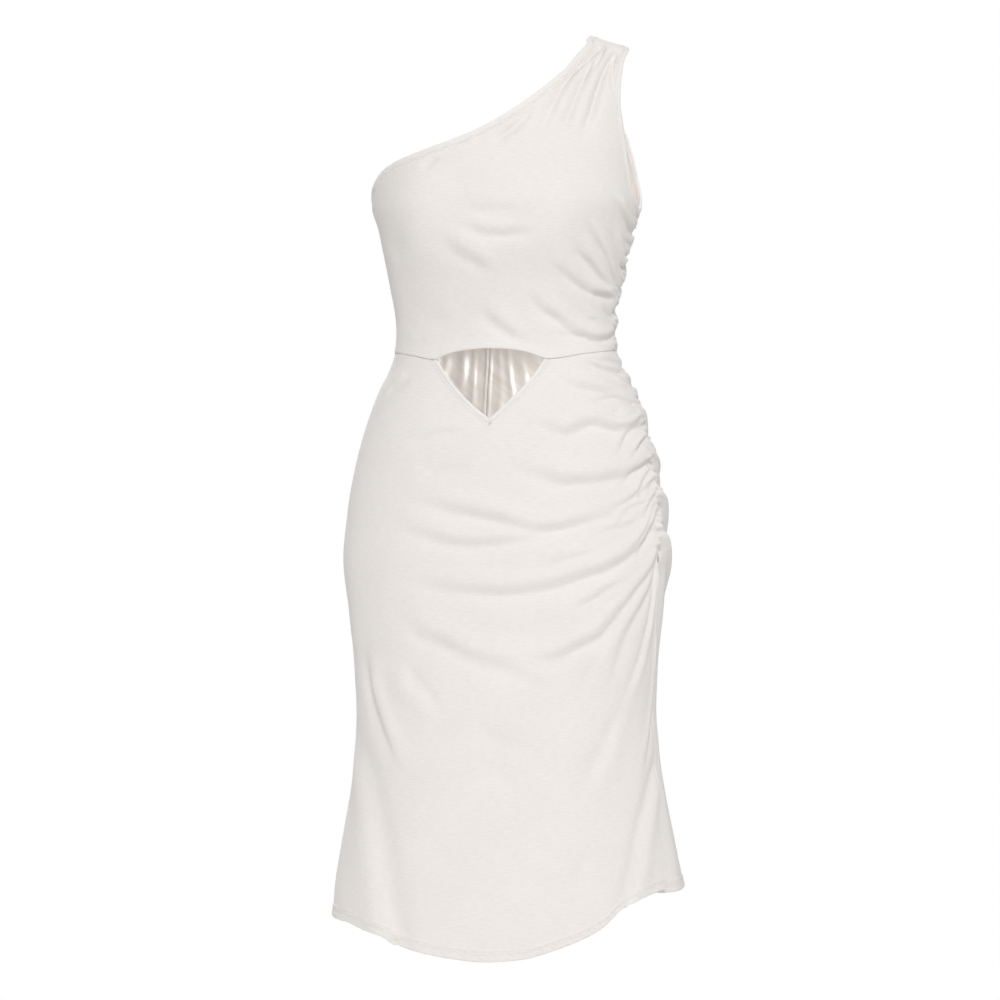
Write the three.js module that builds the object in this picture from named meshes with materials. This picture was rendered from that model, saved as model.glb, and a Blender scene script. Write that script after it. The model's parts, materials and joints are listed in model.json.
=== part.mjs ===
// One-shoulder midi dress, millimetres, +Z up, front facing -Y, worn on a general figure.
// The cloth follows one body surface: an angle t round the body (0 at the front centre,
// 90 at the wearer's left side, 180 at the back, -90 or 270 at the right side) and a height z
// below the neck end of the shoulder seam. Folds move the cloth along that surface's normal.
import * as THREE from 'three';

const WALL = 1.8;             // jersey, face and backing together
const BINDING = 2.6;          // folded binding over the raw edge
const HEM_WALL = 2.8;         // turned-up hem
const HEM_HEIGHT = 14;
const SATIN = 1.0;            // back lining that shows through the cut-out
const GAP = 0.3;              // left between two pieces at a seam
const NECK_BAND = 9;
const ARM_BAND = 7.5;
const CUTOUT_BAND = 7;
const BINDING_PROUD = 0.4;    // how far a binding stands out of the panel's face
const SECTION_SQUARENESS = 0.05;
// The strap's inner face on the ridge of the shoulder, which is the row's origin.
const HELD = new THREE.Vector3(121.5, 0, -11.8);

// Horizontal sections of the figure: half width, depth of the front, depth of the back, and
// how far the middle lies toward the wearer's left.
const SECTIONS = [
  { z: 4, half: 74, front: 40, back: 40, shift: 0 },
  { z: -3, half: 100.4, front: 44, back: 43, shift: 0 },
  { z: -10, half: 122, front: 49, back: 48, shift: 0 },
  { z: -18, half: 144.3, front: 52, back: 51, shift: 0 },
  { z: -26, half: 150.5, front: 60, back: 59, shift: 0 },
  { z: -45, half: 155.5, front: 78, back: 71, shift: 0 },
  { z: -70, half: 157.5, front: 94, back: 81, shift: 0 },
  { z: -120, half: 157, front: 108, back: 91, shift: 0.5 },
  { z: -180, half: 156.5, front: 119, back: 96, shift: 0.5 },
  { z: -200, half: 156, front: 121, back: 96.5, shift: 0.5 },
  { z: -226, half: 148.8, front: 119.5, back: 95.5, shift: 1 },
  { z: -250, half: 143.8, front: 117, back: 94, shift: 1 },
  { z: -296, half: 134.6, front: 102, back: 89, shift: 0.5 },
  { z: -343, half: 128.3, front: 90, back: 84.5, shift: 0.2 },
  { z: -366, half: 129.5, front: 88, back: 84.5, shift: 0.5 },
  { z: -390, half: 137.8, front: 88.5, back: 89, shift: 1 },
  { z: -413, half: 149.5, front: 91, back: 97, shift: 1 },
  { z: -460, half: 166.4, front: 96.5, back: 113, shift: 0.5 },
  { z: -506, half: 178.4, front: 100, back: 125.5, shift: 0 },
  { z: -553, half: 186, front: 103, back: 132, shift: -0.5 },
  { z: -610, half: 189.8, front: 107, back: 133, shift: -1.5 },
  { z: -670, half: 184.4, front: 110.5, back: 128.5, shift: -0.3 },
  { z: -740, half: 177.4, front: 115, back: 125, shift: 0.2 },
  { z: -786, half: 175.4, front: 118, back: 124.5, shift: 0.6 },
  { z: -833, half: 177.8, front: 121, back: 126, shift: 1.4 },
  { z: -880, half: 184.2, front: 124, back: 128, shift: 2.4 },
  { z: -950, half: 197.4, front: 128.5, back: 132, shift: 3.4 },
  { z: -996, half: 205, front: 131.5, back: 134.5, shift: 3.8 },
  { z: -1080, half: 210, front: 135, back: 136.5, shift: 4 },
];

// Edges of the cloth as [t, z] points.
const NECK_FRONT = [
  [90, -3], [65, -6], [46, -14], [38, -26.7], [30, -52.8], [20.5, -77], [9, -100.4],
  [-6, -122.7], [-28, -143.3], [-51, -161.5], [-67, -178], [-80, -185.5], [-90, -188],
];
const NECK_BACK = [
  [90, -3], [115, -6], [133, -13], [143, -27], [152, -47], [164, -72], [180, -96],
  [198, -117], [218, -138], [238, -158], [252, -173], [262, -183], [270, -188],
];
const ARM_FRONT = [
  [90, -18], [72, -25], [65, -40], [61.4, -71], [61.4, -88], [63, -108], [65.4, -125],
  [68, -142], [71.5, -166], [77, -188], [90, -205],
];
const ARM_BACK = [
  [90, -18], [107, -24], [119, -31], [126, -46], [129.5, -74], [128.5, -100], [124.5, -119],
  [120, -137], [113, -159], [105, -178], [97.5, -193], [90, -205],
];
const WAIST = [
  [-90, -370], [-66, -370.5], [-45, -375], [-28.3, -380.5], [-25, -374], [-16, -370.4],
  [-1, -368.6], [7, -369.4], [14, -371.2], [20.5, -374.5], [25.5, -381], [50, -374],
  [70, -370], [90, -368], [130, -371], [180, -374], [230, -372], [270, -370],
];
const VEE_LEFT = [[-28.3, -380.5], [-15.8, -412.4], [-7.1, -434.3], [-0.3, -448.5]];
const VEE_RIGHT = [[-0.3, -448.5], [6.3, -431.5], [14.7, -410.7], [25.5, -381]];
const HEM_FRONT = [
  [-90, -1026], [-79, -1026.5], [-54.6, -1026], [-42.6, -1032], [-35, -1036.5], [-30, -1045],
  [-22.7, -1051], [-11.5, -1057], [-2, -1059.5], [10.5, -1056], [21.5, -1044.5], [35.5, -1022.8],
  [43.6, -1001.5], [51.3, -990.5], [59.2, -985.5], [66, -983],
];
const HEM_BACK = [[50, -981], [99, -987], [130, -1010], [180, -1038], [225, -1041], [270, -1026]];

// Ruched side seam, then the slit: the front panel's edge and the back panel's edge under it.
const SEAM_LEFT = [
  [-190, 90], [-368, 89], [-425, 88], [-472, 82.5], [-518, 79], [-564, 76.5], [-597, 75],
];
const SLIT_FRONT = [
  [-597, 75], [-655, 76], [-702, 80], [-748, 83], [-796, 84.5], [-829, 84], [-854, 80.5],
  [-924, 73], [-955, 70.5], [-990, 64.5],
];
const SLIT_BACK = [
  [-597, 75], [-612, 79], [-632, 82], [-655, 78], [-690, 74], [-748, 76], [-796, 76],
  [-854, 72], [-924, 65], [-990, 57],
];
// How far the back panel lies outside (+) or inside (-) the front panel's surface at the slit.
const SLIT_LIFT = [[-590, 0], [-597, 0], [-612, 3], [-630, 2], [-652, -4.5], [-690, -6], [-1060, -6]];
const LINING_SEAM = 196;      // the lining's seam, as an angle

// Heights at which the ruched seam is pinched in.
const WAIST_AT_SEAM = -368;
const SEAM_GATHERS_BODICE = [-212.5, -230, -245, -259, -272, -301, -325, -349, WAIST_AT_SEAM];
const SEAM_GATHERS_SKIRT = [
  WAIST_AT_SEAM, -391, -407, -430, -452.5, -473.5, -498, -522.5, -549, -577, -597,
];
const PUFF_HEIGHT = 2.6;      // from a pinch to the top of the puff beside it
const PUFF_WIDTH = 26;        // how far from the seam the puffs run out

// Broad forms that stand off the sections.
const MOUNDS = [
  { t: -33, z: -208, high: 9, wide: 40, tall: 44 },
  { t: 33, z: -208, high: 9, wide: 40, tall: 44 },
  { t: 142, z: -150, high: 5, wide: 45, tall: 55 },
  { t: 218, z: -160, high: 4, wide: 45, tall: 50 },
  { t: 152, z: -575, high: 9, wide: 62, tall: 70 },
  { t: 208, z: -575, high: 9, wide: 62, tall: 70 },
  { t: 97, z: -200, high: 2.2, wide: 26, tall: 26 },
];

// Creases as [t, z] points from the far end to the seam, with depth and width in mm.
// ridge: +1 raises a soft ridge on the left of the line, -1 on its right.
// open: the crease runs on past both its ends.
const CREASES = [
  { at: [[51, -18], [37, -41], [31, -61], [26, -90], [20, -130]], deep: 3.2, wide: 7, ridge: 1 },
  { at: [[46, -31], [38, -62], [35, -91], [31, -124]], deep: 2.6, wide: 6, ridge: 0 },
  { at: [[55, -36], [50, -63], [45, -92], [38, -135]], deep: 2.6, wide: 6, ridge: 0 },
  { at: [[60, -37], [56, -77], [58, -118], [61, -145]], deep: 2, wide: 7, ridge: 0 },
  { at: [[22, -90], [17, -108], [12, -123]], deep: 2, wide: 6, ridge: 1 },
  { at: [[11, -107], [3, -121], [-5, -134], [-14, -150]], deep: 1.8, wide: 6, ridge: 1 },
  { at: [[-14, -226], [-5, -236], [4, -239], [20, -234]], deep: 3.4, wide: 9, ridge: 1 },
  { at: [[-18, -243], [-6, -270], [7, -291]], deep: 2.8, wide: 10, ridge: 0 },
  { at: [[3, -302], [9, -329], [21, -363]], deep: 2.4, wide: 10, ridge: 1 },
  { at: [[-37, -240], [-39, -258], [-48, -284]], deep: 2.6, wide: 13, ridge: 0 },
  { at: [[59, -188], [68, -201], [86, -212]], deep: 3.2, wide: 6, ridge: 1 },
  { at: [[42, -221], [49, -237], [60, -257], [88, -275]], deep: 3.4, wide: 7, ridge: 1 },
  { at: [[38, -232], [44, -251], [53, -269], [69, -288], [88, -303]], deep: 2.8, wide: 7, ridge: 0 },
  { at: [[30, -262], [37, -283], [47, -302], [70, -312]], deep: 3, wide: 7, ridge: 1 },
  { at: [[17, -297], [24, -318], [33, -337], [55, -353], [84, -350]], deep: 3.8, wide: 8, ridge: 1 },
  { at: [[38, -384], [56, -390], [85, -395]], deep: 2.4, wide: 6, ridge: 0 },
  { at: [[46, -433], [53, -427], [62, -426], [85, -430]], deep: 3.2, wide: 6, ridge: 1 },
  { at: [[15, -455], [29, -461], [45, -450], [80, -452]], deep: 3, wide: 8, ridge: 1 },
  { at: [[9, -494], [15, -504], [25, -516], [54, -508], [80, -490]], deep: 4, wide: 9, ridge: 1 },
  { at: [[-35, -535], [-2, -558], [14, -572], [31, -569], [52, -550], [76, -522]],
    deep: 4.8, wide: 11, ridge: 1 },
  { at: [[-36, -563], [-14, -588], [-4, -589], [16, -579]], deep: 4, wide: 12, ridge: 0 },
  { at: [[-33, -620], [1, -639], [21, -634], [36, -619], [55, -589], [76, -549]],
    deep: 4.4, wide: 11, ridge: 1 },
  { at: [[-34, -673], [-19, -698], [1, -717], [28, -745]], deep: 5, wide: 17, ridge: 0 },
  { at: [[22, -720], [35, -700], [44, -688], [54, -651], [64, -609], [75, -577]],
    deep: 4.4, wide: 9, ridge: -1 },
  { at: [[48, -769], [53, -747], [59, -711], [64, -662], [74, -592]], deep: 3.6, wide: 8, ridge: 0 },
  { at: [[-25, -757], [-14, -794], [2, -816], [19, -820]], deep: 3.6, wide: 22, ridge: 0 },
  { at: [[-53, -700], [-49, -781], [-43, -838], [-32, -951], [-25, -1062]],
    deep: 9, wide: 15, ridge: -1, open: true },
  { at: [[76, -747], [68, -815], [55, -897], [43, -996]], deep: 6, wide: 13, ridge: -1, open: true },
  // Back: the same ruching runs from the seam, and soft flutes fall to the hem.
  { at: [[150, -300], [138, -272], [118, -262], [94, -272]], deep: 2.8, wide: 9, ridge: 1 },
  { at: [[158, -352], [140, -334], [118, -322], [94, -325]], deep: 3, wide: 9, ridge: 1 },
  { at: [[214, -262], [196, -285], [176, -300]], deep: 2.2, wide: 14, ridge: 0 },
  { at: [[158, -468], [140, -462], [118, -448], [94, -430]], deep: 3, wide: 9, ridge: 1 },
  { at: [[196, -512], [172, -520], [140, -506], [112, -486], [90, -473]], deep: 4, wide: 11, ridge: 1 },
  { at: [[208, -640], [182, -648], [146, -618], [112, -560], [86, -522]], deep: 4.4, wide: 13, ridge: 1 },
  { at: [[186, -742], [160, -728], [128, -670], [104, -606], [84, -560]], deep: 4, wide: 12, ridge: 1 },
  { at: [[150, -800], [132, -750], [112, -676], [92, -600]], deep: 3.6, wide: 11, ridge: 0 },
  { at: [[232, -720], [226, -810], [220, -930], [214, -1066]], deep: 8, wide: 20, ridge: 0, open: true },
  { at: [[166, -800], [162, -900], [158, -1066]], deep: 6, wide: 20, ridge: 0, open: true },
  { at: [[118, -800], [122, -900], [126, -1050]], deep: 5, wide: 16, ridge: 0, open: true },
];

// A crease's profile, in its own widths, and its ends, in shares of its length.
const CREASE_REACH = 4;
const CREASE_FADE_IN = 0.3;
const CREASE_FADE_OUT = 0.85;
const CREASE_AT_SEAM = 0.35;  // share of its depth that is left at the seam
const RIDGE_HEIGHT = 0.5;     // share of the crease's depth
const RIDGE_AWAY = 1.7;
const RIDGE_WIDTH = 1.2;

const rad = Math.PI / 180;
const smooth = (x, from, to) => {
  const s = Math.min(1, Math.max(0, (x - from) / (to - from)));
  return s * s * (3 - 2 * s);
};

// Monotone cubic through (xs, ys), xs rising.
function monotone(xs, ys) {
  const n = xs.length;
  const step = xs.slice(1).map((x, i) => x - xs[i]);
  const slope = step.map((h, i) => (ys[i + 1] - ys[i]) / h);
  const tangent = xs.map((x, i) => {
    if (i === 0) return slope[0];
    if (i === n - 1) return slope[n - 2];
    if (slope[i - 1] * slope[i] <= 0) return 0;
    const w1 = 2 * step[i] + step[i - 1];
    const w2 = step[i] + 2 * step[i - 1];
    return (w1 + w2) / (w1 / slope[i - 1] + w2 / slope[i]);
  });
  return (x) => {
    const q = Math.min(xs[n - 1], Math.max(xs[0], x));
    let k = 0;
    while (k < n - 2 && q > xs[k + 1]) k += 1;
    const h = step[k];
    const s = (q - xs[k]) / h;
    return (2 * s ** 3 - 3 * s ** 2 + 1) * ys[k] + (s ** 3 - 2 * s ** 2 + s) * h * tangent[k]
      + (3 * s ** 2 - 2 * s ** 3) * ys[k + 1] + (s ** 3 - s ** 2) * h * tangent[k + 1];
  };
}

// A two-column table as a function of its first column.
function column(rows) {
  const sorted = rows.slice().sort((p, q) => p[0] - q[0]);
  return monotone(sorted.map((r) => r[0]), sorted.map((r) => r[1]));
}

const halfAt = column(SECTIONS.map((s) => [s.z, s.half]));
const frontAt = column(SECTIONS.map((s) => [s.z, s.front]));
const backAt = column(SECTIONS.map((s) => [s.z, s.back]));
const shiftAt = column(SECTIONS.map((s) => [s.z, s.shift]));
const waistAt = column(WAIST);
const hemFrontAt = column(HEM_FRONT);
const hemBackAt = column(HEM_BACK);
const seamAt = column(SEAM_LEFT);
const slitFrontAt = column(SLIT_FRONT);
const slitBackAt = column(SLIT_BACK);
const slitLiftAt = column(SLIT_LIFT);

function onBody(t, z) {
  const square = 1 + SECTION_SQUARENESS * Math.sin(2 * t * rad) ** 2;
  const depth = Math.cos(t * rad) >= 0 ? frontAt(z) : backAt(z);
  return new THREE.Vector3(
    shiftAt(z) + halfAt(z) * Math.sin(t * rad) * square, -depth * Math.cos(t * rad) * square, z);
}

// How the point moves for one degree of t and for one millimetre of z.
function slopes(t, z) {
  const dt = onBody(t + 0.5, z).sub(onBody(t - 0.5, z));
  const dz = onBody(t, z + 0.5).sub(onBody(t, z - 0.5));
  return { dt, dz };
}

function outward(t, z) {
  const { dt, dz } = slopes(t, z);
  return dt.cross(dz).normalize();
}

// Millimetres round the body for one degree of t.
function perDegree(t, z) {
  const depth = Math.cos(t * rad) >= 0 ? frontAt(z) : backAt(z);
  return Math.hypot(halfAt(z) * Math.cos(t * rad), depth * Math.sin(t * rad)) * rad;
}

function creaseAt(crease, t, z, mm) {
  let best = { away: Infinity, side: 0, run: 0 };
  let total = 0;
  const lengths = [];
  for (let i = 1; i < crease.at.length; i += 1) {
    const [t0, z0] = crease.at[i - 1];
    const [t1, z1] = crease.at[i];
    lengths.push(Math.hypot((t1 - t0) * mm, z1 - z0));
  }
  lengths.forEach((length, i) => {
    const [t0, z0] = crease.at[i];
    const [t1, z1] = crease.at[i + 1];
    const ux = (t1 - t0) * mm / length;
    const uz = (z1 - z0) / length;
    const px = (t - t0) * mm;
    const pz = z - z0;
    const along = Math.min(length, Math.max(0, px * ux + pz * uz));
    const away = Math.hypot(px - along * ux, pz - along * uz);
    if (away < best.away) best = { away, side: Math.sign(ux * pz - uz * px), run: total + along };
    total += length;
  });
  const away = best.away / crease.wide;
  if (away > CREASE_REACH) return 0;
  const run = best.run / total;
  const seamEnd = crease.open ? 0 : smooth(run, CREASE_FADE_OUT, 1);
  const fade = smooth(run, 0, CREASE_FADE_IN) * (1 - (1 - CREASE_AT_SEAM) * seamEnd);
  const fromRidge = (away * best.side * crease.ridge - RIDGE_AWAY) / RIDGE_WIDTH;
  const ridge = crease.ridge ? RIDGE_HEIGHT * Math.exp(-(fromRidge ** 2)) : 0;
  return crease.deep * fade * (ridge - Math.exp(-(away ** 2)));
}

// The seam is drawn in at every gather and puffs out between two of them.
function gathersAt(t, z, mm) {
  const heights = z > WAIST_AT_SEAM ? SEAM_GATHERS_BODICE : SEAM_GATHERS_SKIRT;
  const below = heights.findIndex((height, i) => i > 0 && z >= height && z <= heights[i - 1]);
  if (below < 0) return 0;
  const share = (heights[below - 1] - z) / (heights[below - 1] - heights[below]);
  const away = (t - seamAt(z)) * mm / PUFF_WIDTH;
  return PUFF_HEIGHT * (Math.sin(Math.PI * share) - 0.5) * Math.exp(-(away ** 2));
}

function moundsAt(t, z, mm) {
  return MOUNDS.reduce((sum, m) => sum
    + m.high * Math.exp(-(((t - m.t) * mm / m.wide) ** 2) - (((z - m.z) / m.tall) ** 2)), 0);
}

function foldsAt(t, z) {
  const mm = perDegree(t, z);
  let sum = gathersAt(t, z, mm) + moundsAt(t, z, mm);
  for (const crease of CREASES) sum += creaseAt(crease, t, z, mm);
  return sum;
}

// A closed sheet from rows of [t, z] points: the outer face, the inner face and the four edges.
// `proud` is how far its outer face stands out of the folded cloth, `wall` its thickness.
function sheet(name, material, rows, { proud = () => 0, wall }) {
  const rowCount = rows.length;
  const columnCount = rows[0].length;
  const points = [];
  for (const depth of [0, 1]) {
    rows.forEach((row) => row.forEach(([t, z]) => {
      const move = foldsAt(t, z) + proud(t, z) - depth * wall(t, z);
      const p = onBody(t, z).addScaledVector(outward(t, z), move).sub(HELD);
      points.push(p.x, p.y, p.z);
    }));
  }
  const at = (i, j, side) => (side * rowCount + i) * columnCount + j;
  const index = [];
  const quad = (a, b, c, d) => index.push(a, b, c, a, c, d);
  for (let i = 0; i < rowCount - 1; i += 1) {
    for (let j = 0; j < columnCount - 1; j += 1) {
      const falling = fallingDiagonal(rows[i][j], rows[i + 1][j], rows[i + 1][j + 1], rows[i][j + 1]);
      for (const side of [0, 1]) {
        const ring = [at(i, j, side), at(i + 1, j, side), at(i + 1, j + 1, side), at(i, j + 1, side)];
        const [a, b, c, d] = side ? ring.reverse() : ring;
        if (falling === (side === 0)) quad(a, b, c, d);
        else quad(b, c, d, a);
      }
    }
  }
  for (let j = 0; j < columnCount - 1; j += 1) {
    quad(at(0, j, 0), at(0, j + 1, 0), at(0, j + 1, 1), at(0, j, 1));
    const i = rowCount - 1;
    quad(at(i, j + 1, 0), at(i, j, 0), at(i, j, 1), at(i, j + 1, 1));
  }
  for (let i = 0; i < rowCount - 1; i += 1) {
    quad(at(i + 1, 0, 0), at(i, 0, 0), at(i, 0, 1), at(i + 1, 0, 1));
    const j = columnCount - 1;
    quad(at(i, j, 0), at(i + 1, j, 0), at(i + 1, j, 1), at(i, j, 1));
  }
  const geometry = new THREE.BufferGeometry();
  geometry.setAttribute('position', new THREE.Float32BufferAttribute(points, 3));
  geometry.setIndex(index);
  const mesh = new THREE.Mesh(geometry, material);
  mesh.name = name;
  return mesh;
}

// Whether a cell of the cloth is better split from its first corner than across it.
function fallingDiagonal(...corners) {
  const folded = ([t, z]) => onBody(t, z).addScaledVector(outward(t, z), foldsAt(t, z));
  const middle = folded([0, 1].map((k) => corners.reduce((sum, p) => sum + p[k], 0) / 4));
  const [a, b, c, d] = corners.map(folded);
  const missed = (p, q) => p.clone().lerp(q, 0.5).distanceTo(middle);
  return missed(a, c) <= missed(b, d);
}

// An edge table as a curve of its length, 0 to 1.
function edge(rows) {
  const run = [0];
  for (let i = 1; i < rows.length; i += 1) {
    run.push(run[i - 1] + onBody(...rows[i - 1]).distanceTo(onBody(...rows[i])));
  }
  const total = run[run.length - 1];
  const tOf = monotone(run, rows.map((r) => r[0]));
  const zOf = monotone(run, rows.map((r) => r[1]));
  return (u) => [tOf(u * total), zOf(u * total)];
}

// The point `wide` millimetres inside an edge, square to it. `side` is 1 when the cloth lies on
// the left of the direction in which the edge runs, seen from outside, and -1 on its right.
const EDGE_STEP = 0.01;       // share of an edge's length over which its direction is taken
const INSIDE_PASSES = 5;
function inside(curve, u, wide, side) {
  const ahead = onBody(...curve(Math.min(1, u + EDGE_STEP)));
  const along = ahead.sub(onBody(...curve(Math.max(0, u - EDGE_STEP))));
  let [t, z] = curve(u);
  const square = outward(t, z).cross(along.normalize());
  const goal = onBody(t, z).addScaledVector(square, side * wide);
  for (let pass = 0; pass < INSIDE_PASSES; pass += 1) {
    const { dt, dz } = slopes(t, z);
    const miss = goal.clone().sub(onBody(t, z));
    const tt = dt.dot(dt);
    const tz = dt.dot(dz);
    const zz = dz.dot(dz);
    const det = tt * zz - tz * tz;
    t += (miss.dot(dt) * zz - miss.dot(dz) * tz) / det;
    z += (miss.dot(dz) * tt - miss.dot(dt) * tz) / det;
  }
  return [t, z];
}

const spread = (from, to, count) => Array.from(
  { length: count + 1 }, (_, i) => from + (to - from) * i / count);
const mix = (p, q, s) => [p[0] + (q[0] - p[0]) * s, p[1] + (q[1] - p[1]) * s];
const round = (p, mm) => [p[0] + mm / perDegree(...p), p[1]];

// Two rows for each gather: drawn in at its height, puffed out halfway to the next.
function gatherHeights(heights) {
  return heights.flatMap((z, i) => (i < heights.length - 1 ? [z, (z + heights[i + 1]) / 2] : [z]));
}

const jersey = new THREE.MeshStandardMaterial({ name: 'jersey', color: 0xf1eee9, roughness: 0.9 });
const binding = new THREE.MeshStandardMaterial({ name: 'binding', color: 0xeeebe6, roughness: 0.9 });
const satin = new THREE.MeshStandardMaterial({ name: 'satin', color: 0xd6ccc2, roughness: 0.35 });

const HALF_GAP = GAP / 2;
const UPPER_ROWS = 20;        // from the shoulder seam down to the two side seams
const WAIST_LEAD = 5;         // rows of the bodice that bend onto the waist seam
const VEE_STEPS = 8;
const SLIT_ROWS = { front: 12, back: 11 };
// Columns of each panel: on the front to the right of the cut-out, over it and to its left; on
// the back to the left and to the right of the lining's seam.
const BODICE_FRONT_COLUMNS = [9, 8, 10];
const BODICE_BACK_COLUMNS = [10, 7];
const SKIRT_FRONT_COLUMNS = [12, 14];
const SKIRT_BACK_COLUMNS = [13, 8];
// Rows and columns of the back panels behind which the lining lies.
const BODICE_LINING = { rows: 5, left: 7, right: 5 };
const SKIRT_LINING = { rows: 8, left: 9, right: 6 };
const CORNER_SPREAD = 1.16;   // the cut-out's binding meets the waist seam at a slant
const FOOT_SPREAD = 1.25;     // and its own other half in a mitre
const ARM_FOOT_SPREAD = 1.25; // the armhole's binding comes to a blunt point at the side seam
const FRONT = { name: 'front', sign: -1, sideT: -90, neck: edge(NECK_FRONT), arm: edge(ARM_FRONT) };
const BACK = { name: 'back', sign: 1, sideT: 270, neck: edge(NECK_BACK), arm: edge(ARM_BACK) };

// An inset edge of the bodice whose two ends lie at the shoulder seam and at a side seam.
function insetEdge(curve, wide, side, endT, footSpread) {
  return spread(0, 1, UPPER_ROWS).map((u, i) => {
    const p = inside(curve, u, wide, side);
    if (i === 0) return [90, p[1]];
    if (i === UPPER_ROWS) return [endT, curve(1)[1] - wide * footSpread];
    return p;
  });
}
const neckInset = (half, wide) => insetEdge(half.neck, wide, -half.sign, half.sideT, 1);
const armInset = (half, wide) => insetEdge(half.arm, wide, half.sign, 90, ARM_FOOT_SPREAD);

// Draws both ends of an edge back from the seams they meet, by half a gap.
function clearOfSeams(line, first, last) {
  return line.map((p, i) => {
    if (i === 0) return round(p, first * HALF_GAP);
    return i === line.length - 1 ? round(p, last * HALF_GAP) : p;
  });
}

// The bodice: the neck edge and the armhole on its sides, then the two side seams.
function bodiceRows(half, shares) {
  const neck = clearOfSeams(neckInset(half, NECK_BAND + GAP), half.sign, -half.sign);
  const arm = clearOfSeams(armInset(half, ARM_BAND + GAP), half.sign, half.sign);
  const across = (right, left) => {
    const [from, to] = half === FRONT ? [right, left] : [left, right];
    return shares.map((s) => mix(from, to, s));
  };
  const rows = neck.map((p, i) => across(p, arm[i]));
  const [rightT, rightTop] = neck[UPPER_ROWS];
  const heights = gatherHeights(SEAM_GATHERS_BODICE);
  const steps = heights.length - 1;
  for (let i = 1; i <= steps; i += 1) {
    const right = mix([rightT, rightTop], [rightT, waistAt(half.sideT) + HALF_GAP], i / steps);
    const z = i === steps ? heights[i] + HALF_GAP : heights[i];
    rows.push(across(right, round([seamAt(z), z], half.sign * HALF_GAP)));
  }
  const last = rows.length - 1;
  const miss = rows[last].map(([t, z]) => waistAt(t) + HALF_GAP - z);
  for (let k = 0; k < WAIST_LEAD; k += 1) {
    rows[last - k] = rows[last - k].map(([t, z], j) => [t, z + miss[j] * (1 - k / WAIST_LEAD)]);
  }
  return rows;
}

// The front has a column at each corner of the cut-out, the back one at the lining's seam.
function frontShares() {
  const [toVee, overVee, fromVee] = BODICE_FRONT_COLUMNS;
  const share = (t) => (t - FRONT.sideT) / (seamAt(WAIST_AT_SEAM) - FRONT.sideT);
  const from = share(VEE_LEFT[0][0]);
  const to = share(VEE_RIGHT[VEE_RIGHT.length - 1][0]);
  return [...spread(0, from, toVee), ...spread(from, to, overVee).slice(1),
    ...spread(to, 1, fromVee).slice(1)];
}

function backShares() {
  const [toSeam, fromSeam] = BODICE_BACK_COLUMNS;
  const left = seamAt(WAIST_AT_SEAM);
  const seam = (LINING_SEAM - left) / (BACK.sideT - left);
  return [...spread(0, seam, toSeam), ...spread(seam, 1, fromSeam).slice(1)];
}

function neckBinding(half) {
  const outer = clearOfSeams(spread(0, 1, UPPER_ROWS).map(half.neck), half.sign, -half.sign);
  const inner = clearOfSeams(neckInset(half, NECK_BAND), half.sign, -half.sign);
  return boundEdge(`neck_binding_${half.name}`, half === FRONT ? [outer, inner] : [inner, outer]);
}

function armholeBinding(half) {
  const outer = clearOfSeams(spread(0, 1, UPPER_ROWS).map(half.arm), half.sign, half.sign);
  const inner = clearOfSeams(armInset(half, ARM_BAND), half.sign, half.sign);
  return boundEdge(`armhole_binding_${half.name}`, half === FRONT ? [inner, outer] : [outer, inner]);
}

function boundEdge(name, [from, to]) {
  const rows = from.map((p, i) => [p, to[i]]);
  return sheet(name, binding, rows, { proud: () => BINDING_PROUD, wall: () => BINDING });
}

// One side of the cut-out's V, from left to right: the opening's edge or a line inside it.
const VEE = {
  right: { curve: edge(VEE_LEFT), corner: VEE_LEFT[0], sign: -1, top: 0 },
  left: { curve: edge(VEE_RIGHT), corner: VEE_RIGHT[VEE_RIGHT.length - 1], sign: 1, top: VEE_STEPS },
};
const VEE_FOOT = VEE_RIGHT[0];

function veeLine(side, wide) {
  const foot = VEE_STEPS - side.top;
  const line = spread(0, 1, VEE_STEPS).map((u) => inside(side.curve, u, wide, -1));
  const cornerT = side.corner[0] + side.sign * wide * CORNER_SPREAD / perDegree(...side.corner);
  line[side.top] = [cornerT, waistAt(cornerT) - HALF_GAP];
  line[foot] = [VEE_FOOT[0], VEE_FOOT[1] - wide * FOOT_SPREAD];
  return line;
}

function cutoutBinding(name) {
  const side = VEE[name];
  const rows = [veeLine(side, 0), veeLine(side, CUTOUT_BAND)];
  const foot = VEE_STEPS - side.top;
  rows.forEach((row) => {
    row[foot] = round(row[foot], side.sign * HALF_GAP);
  });
  return sheet(`cutout_binding_${name}`, binding, rows,
    { proud: () => BINDING_PROUD, wall: () => BINDING });
}

// The skirt's top edge from left to right as [t, z]: the waist seam, dipping round the cut-out.
function frontTopEdge(from, to) {
  const veeRight = veeLine(VEE.right, CUTOUT_BAND + GAP);
  const veeLeft = veeLine(VEE.left, CUTOUT_BAND + GAP);
  const onWaist = (t) => [t, waistAt(t) - HALF_GAP];
  const [toVee, fromVee] = SKIRT_FRONT_COLUMNS;
  return [...spread(from, veeRight[0][0], toVee).slice(0, -1).map(onWaist), ...veeRight,
    ...veeLeft.slice(1), ...spread(veeLeft[VEE_STEPS][0], to, fromVee).slice(1).map(onWaist)];
}

function backTopEdge(from, to) {
  const [toSeam, fromSeam] = SKIRT_BACK_COLUMNS;
  const columns = [...spread(from, LINING_SEAM, toSeam), ...spread(LINING_SEAM, to, fromSeam).slice(1)];
  return columns.map((t) => [t, waistAt(t) - HALF_GAP]);
}

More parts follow.
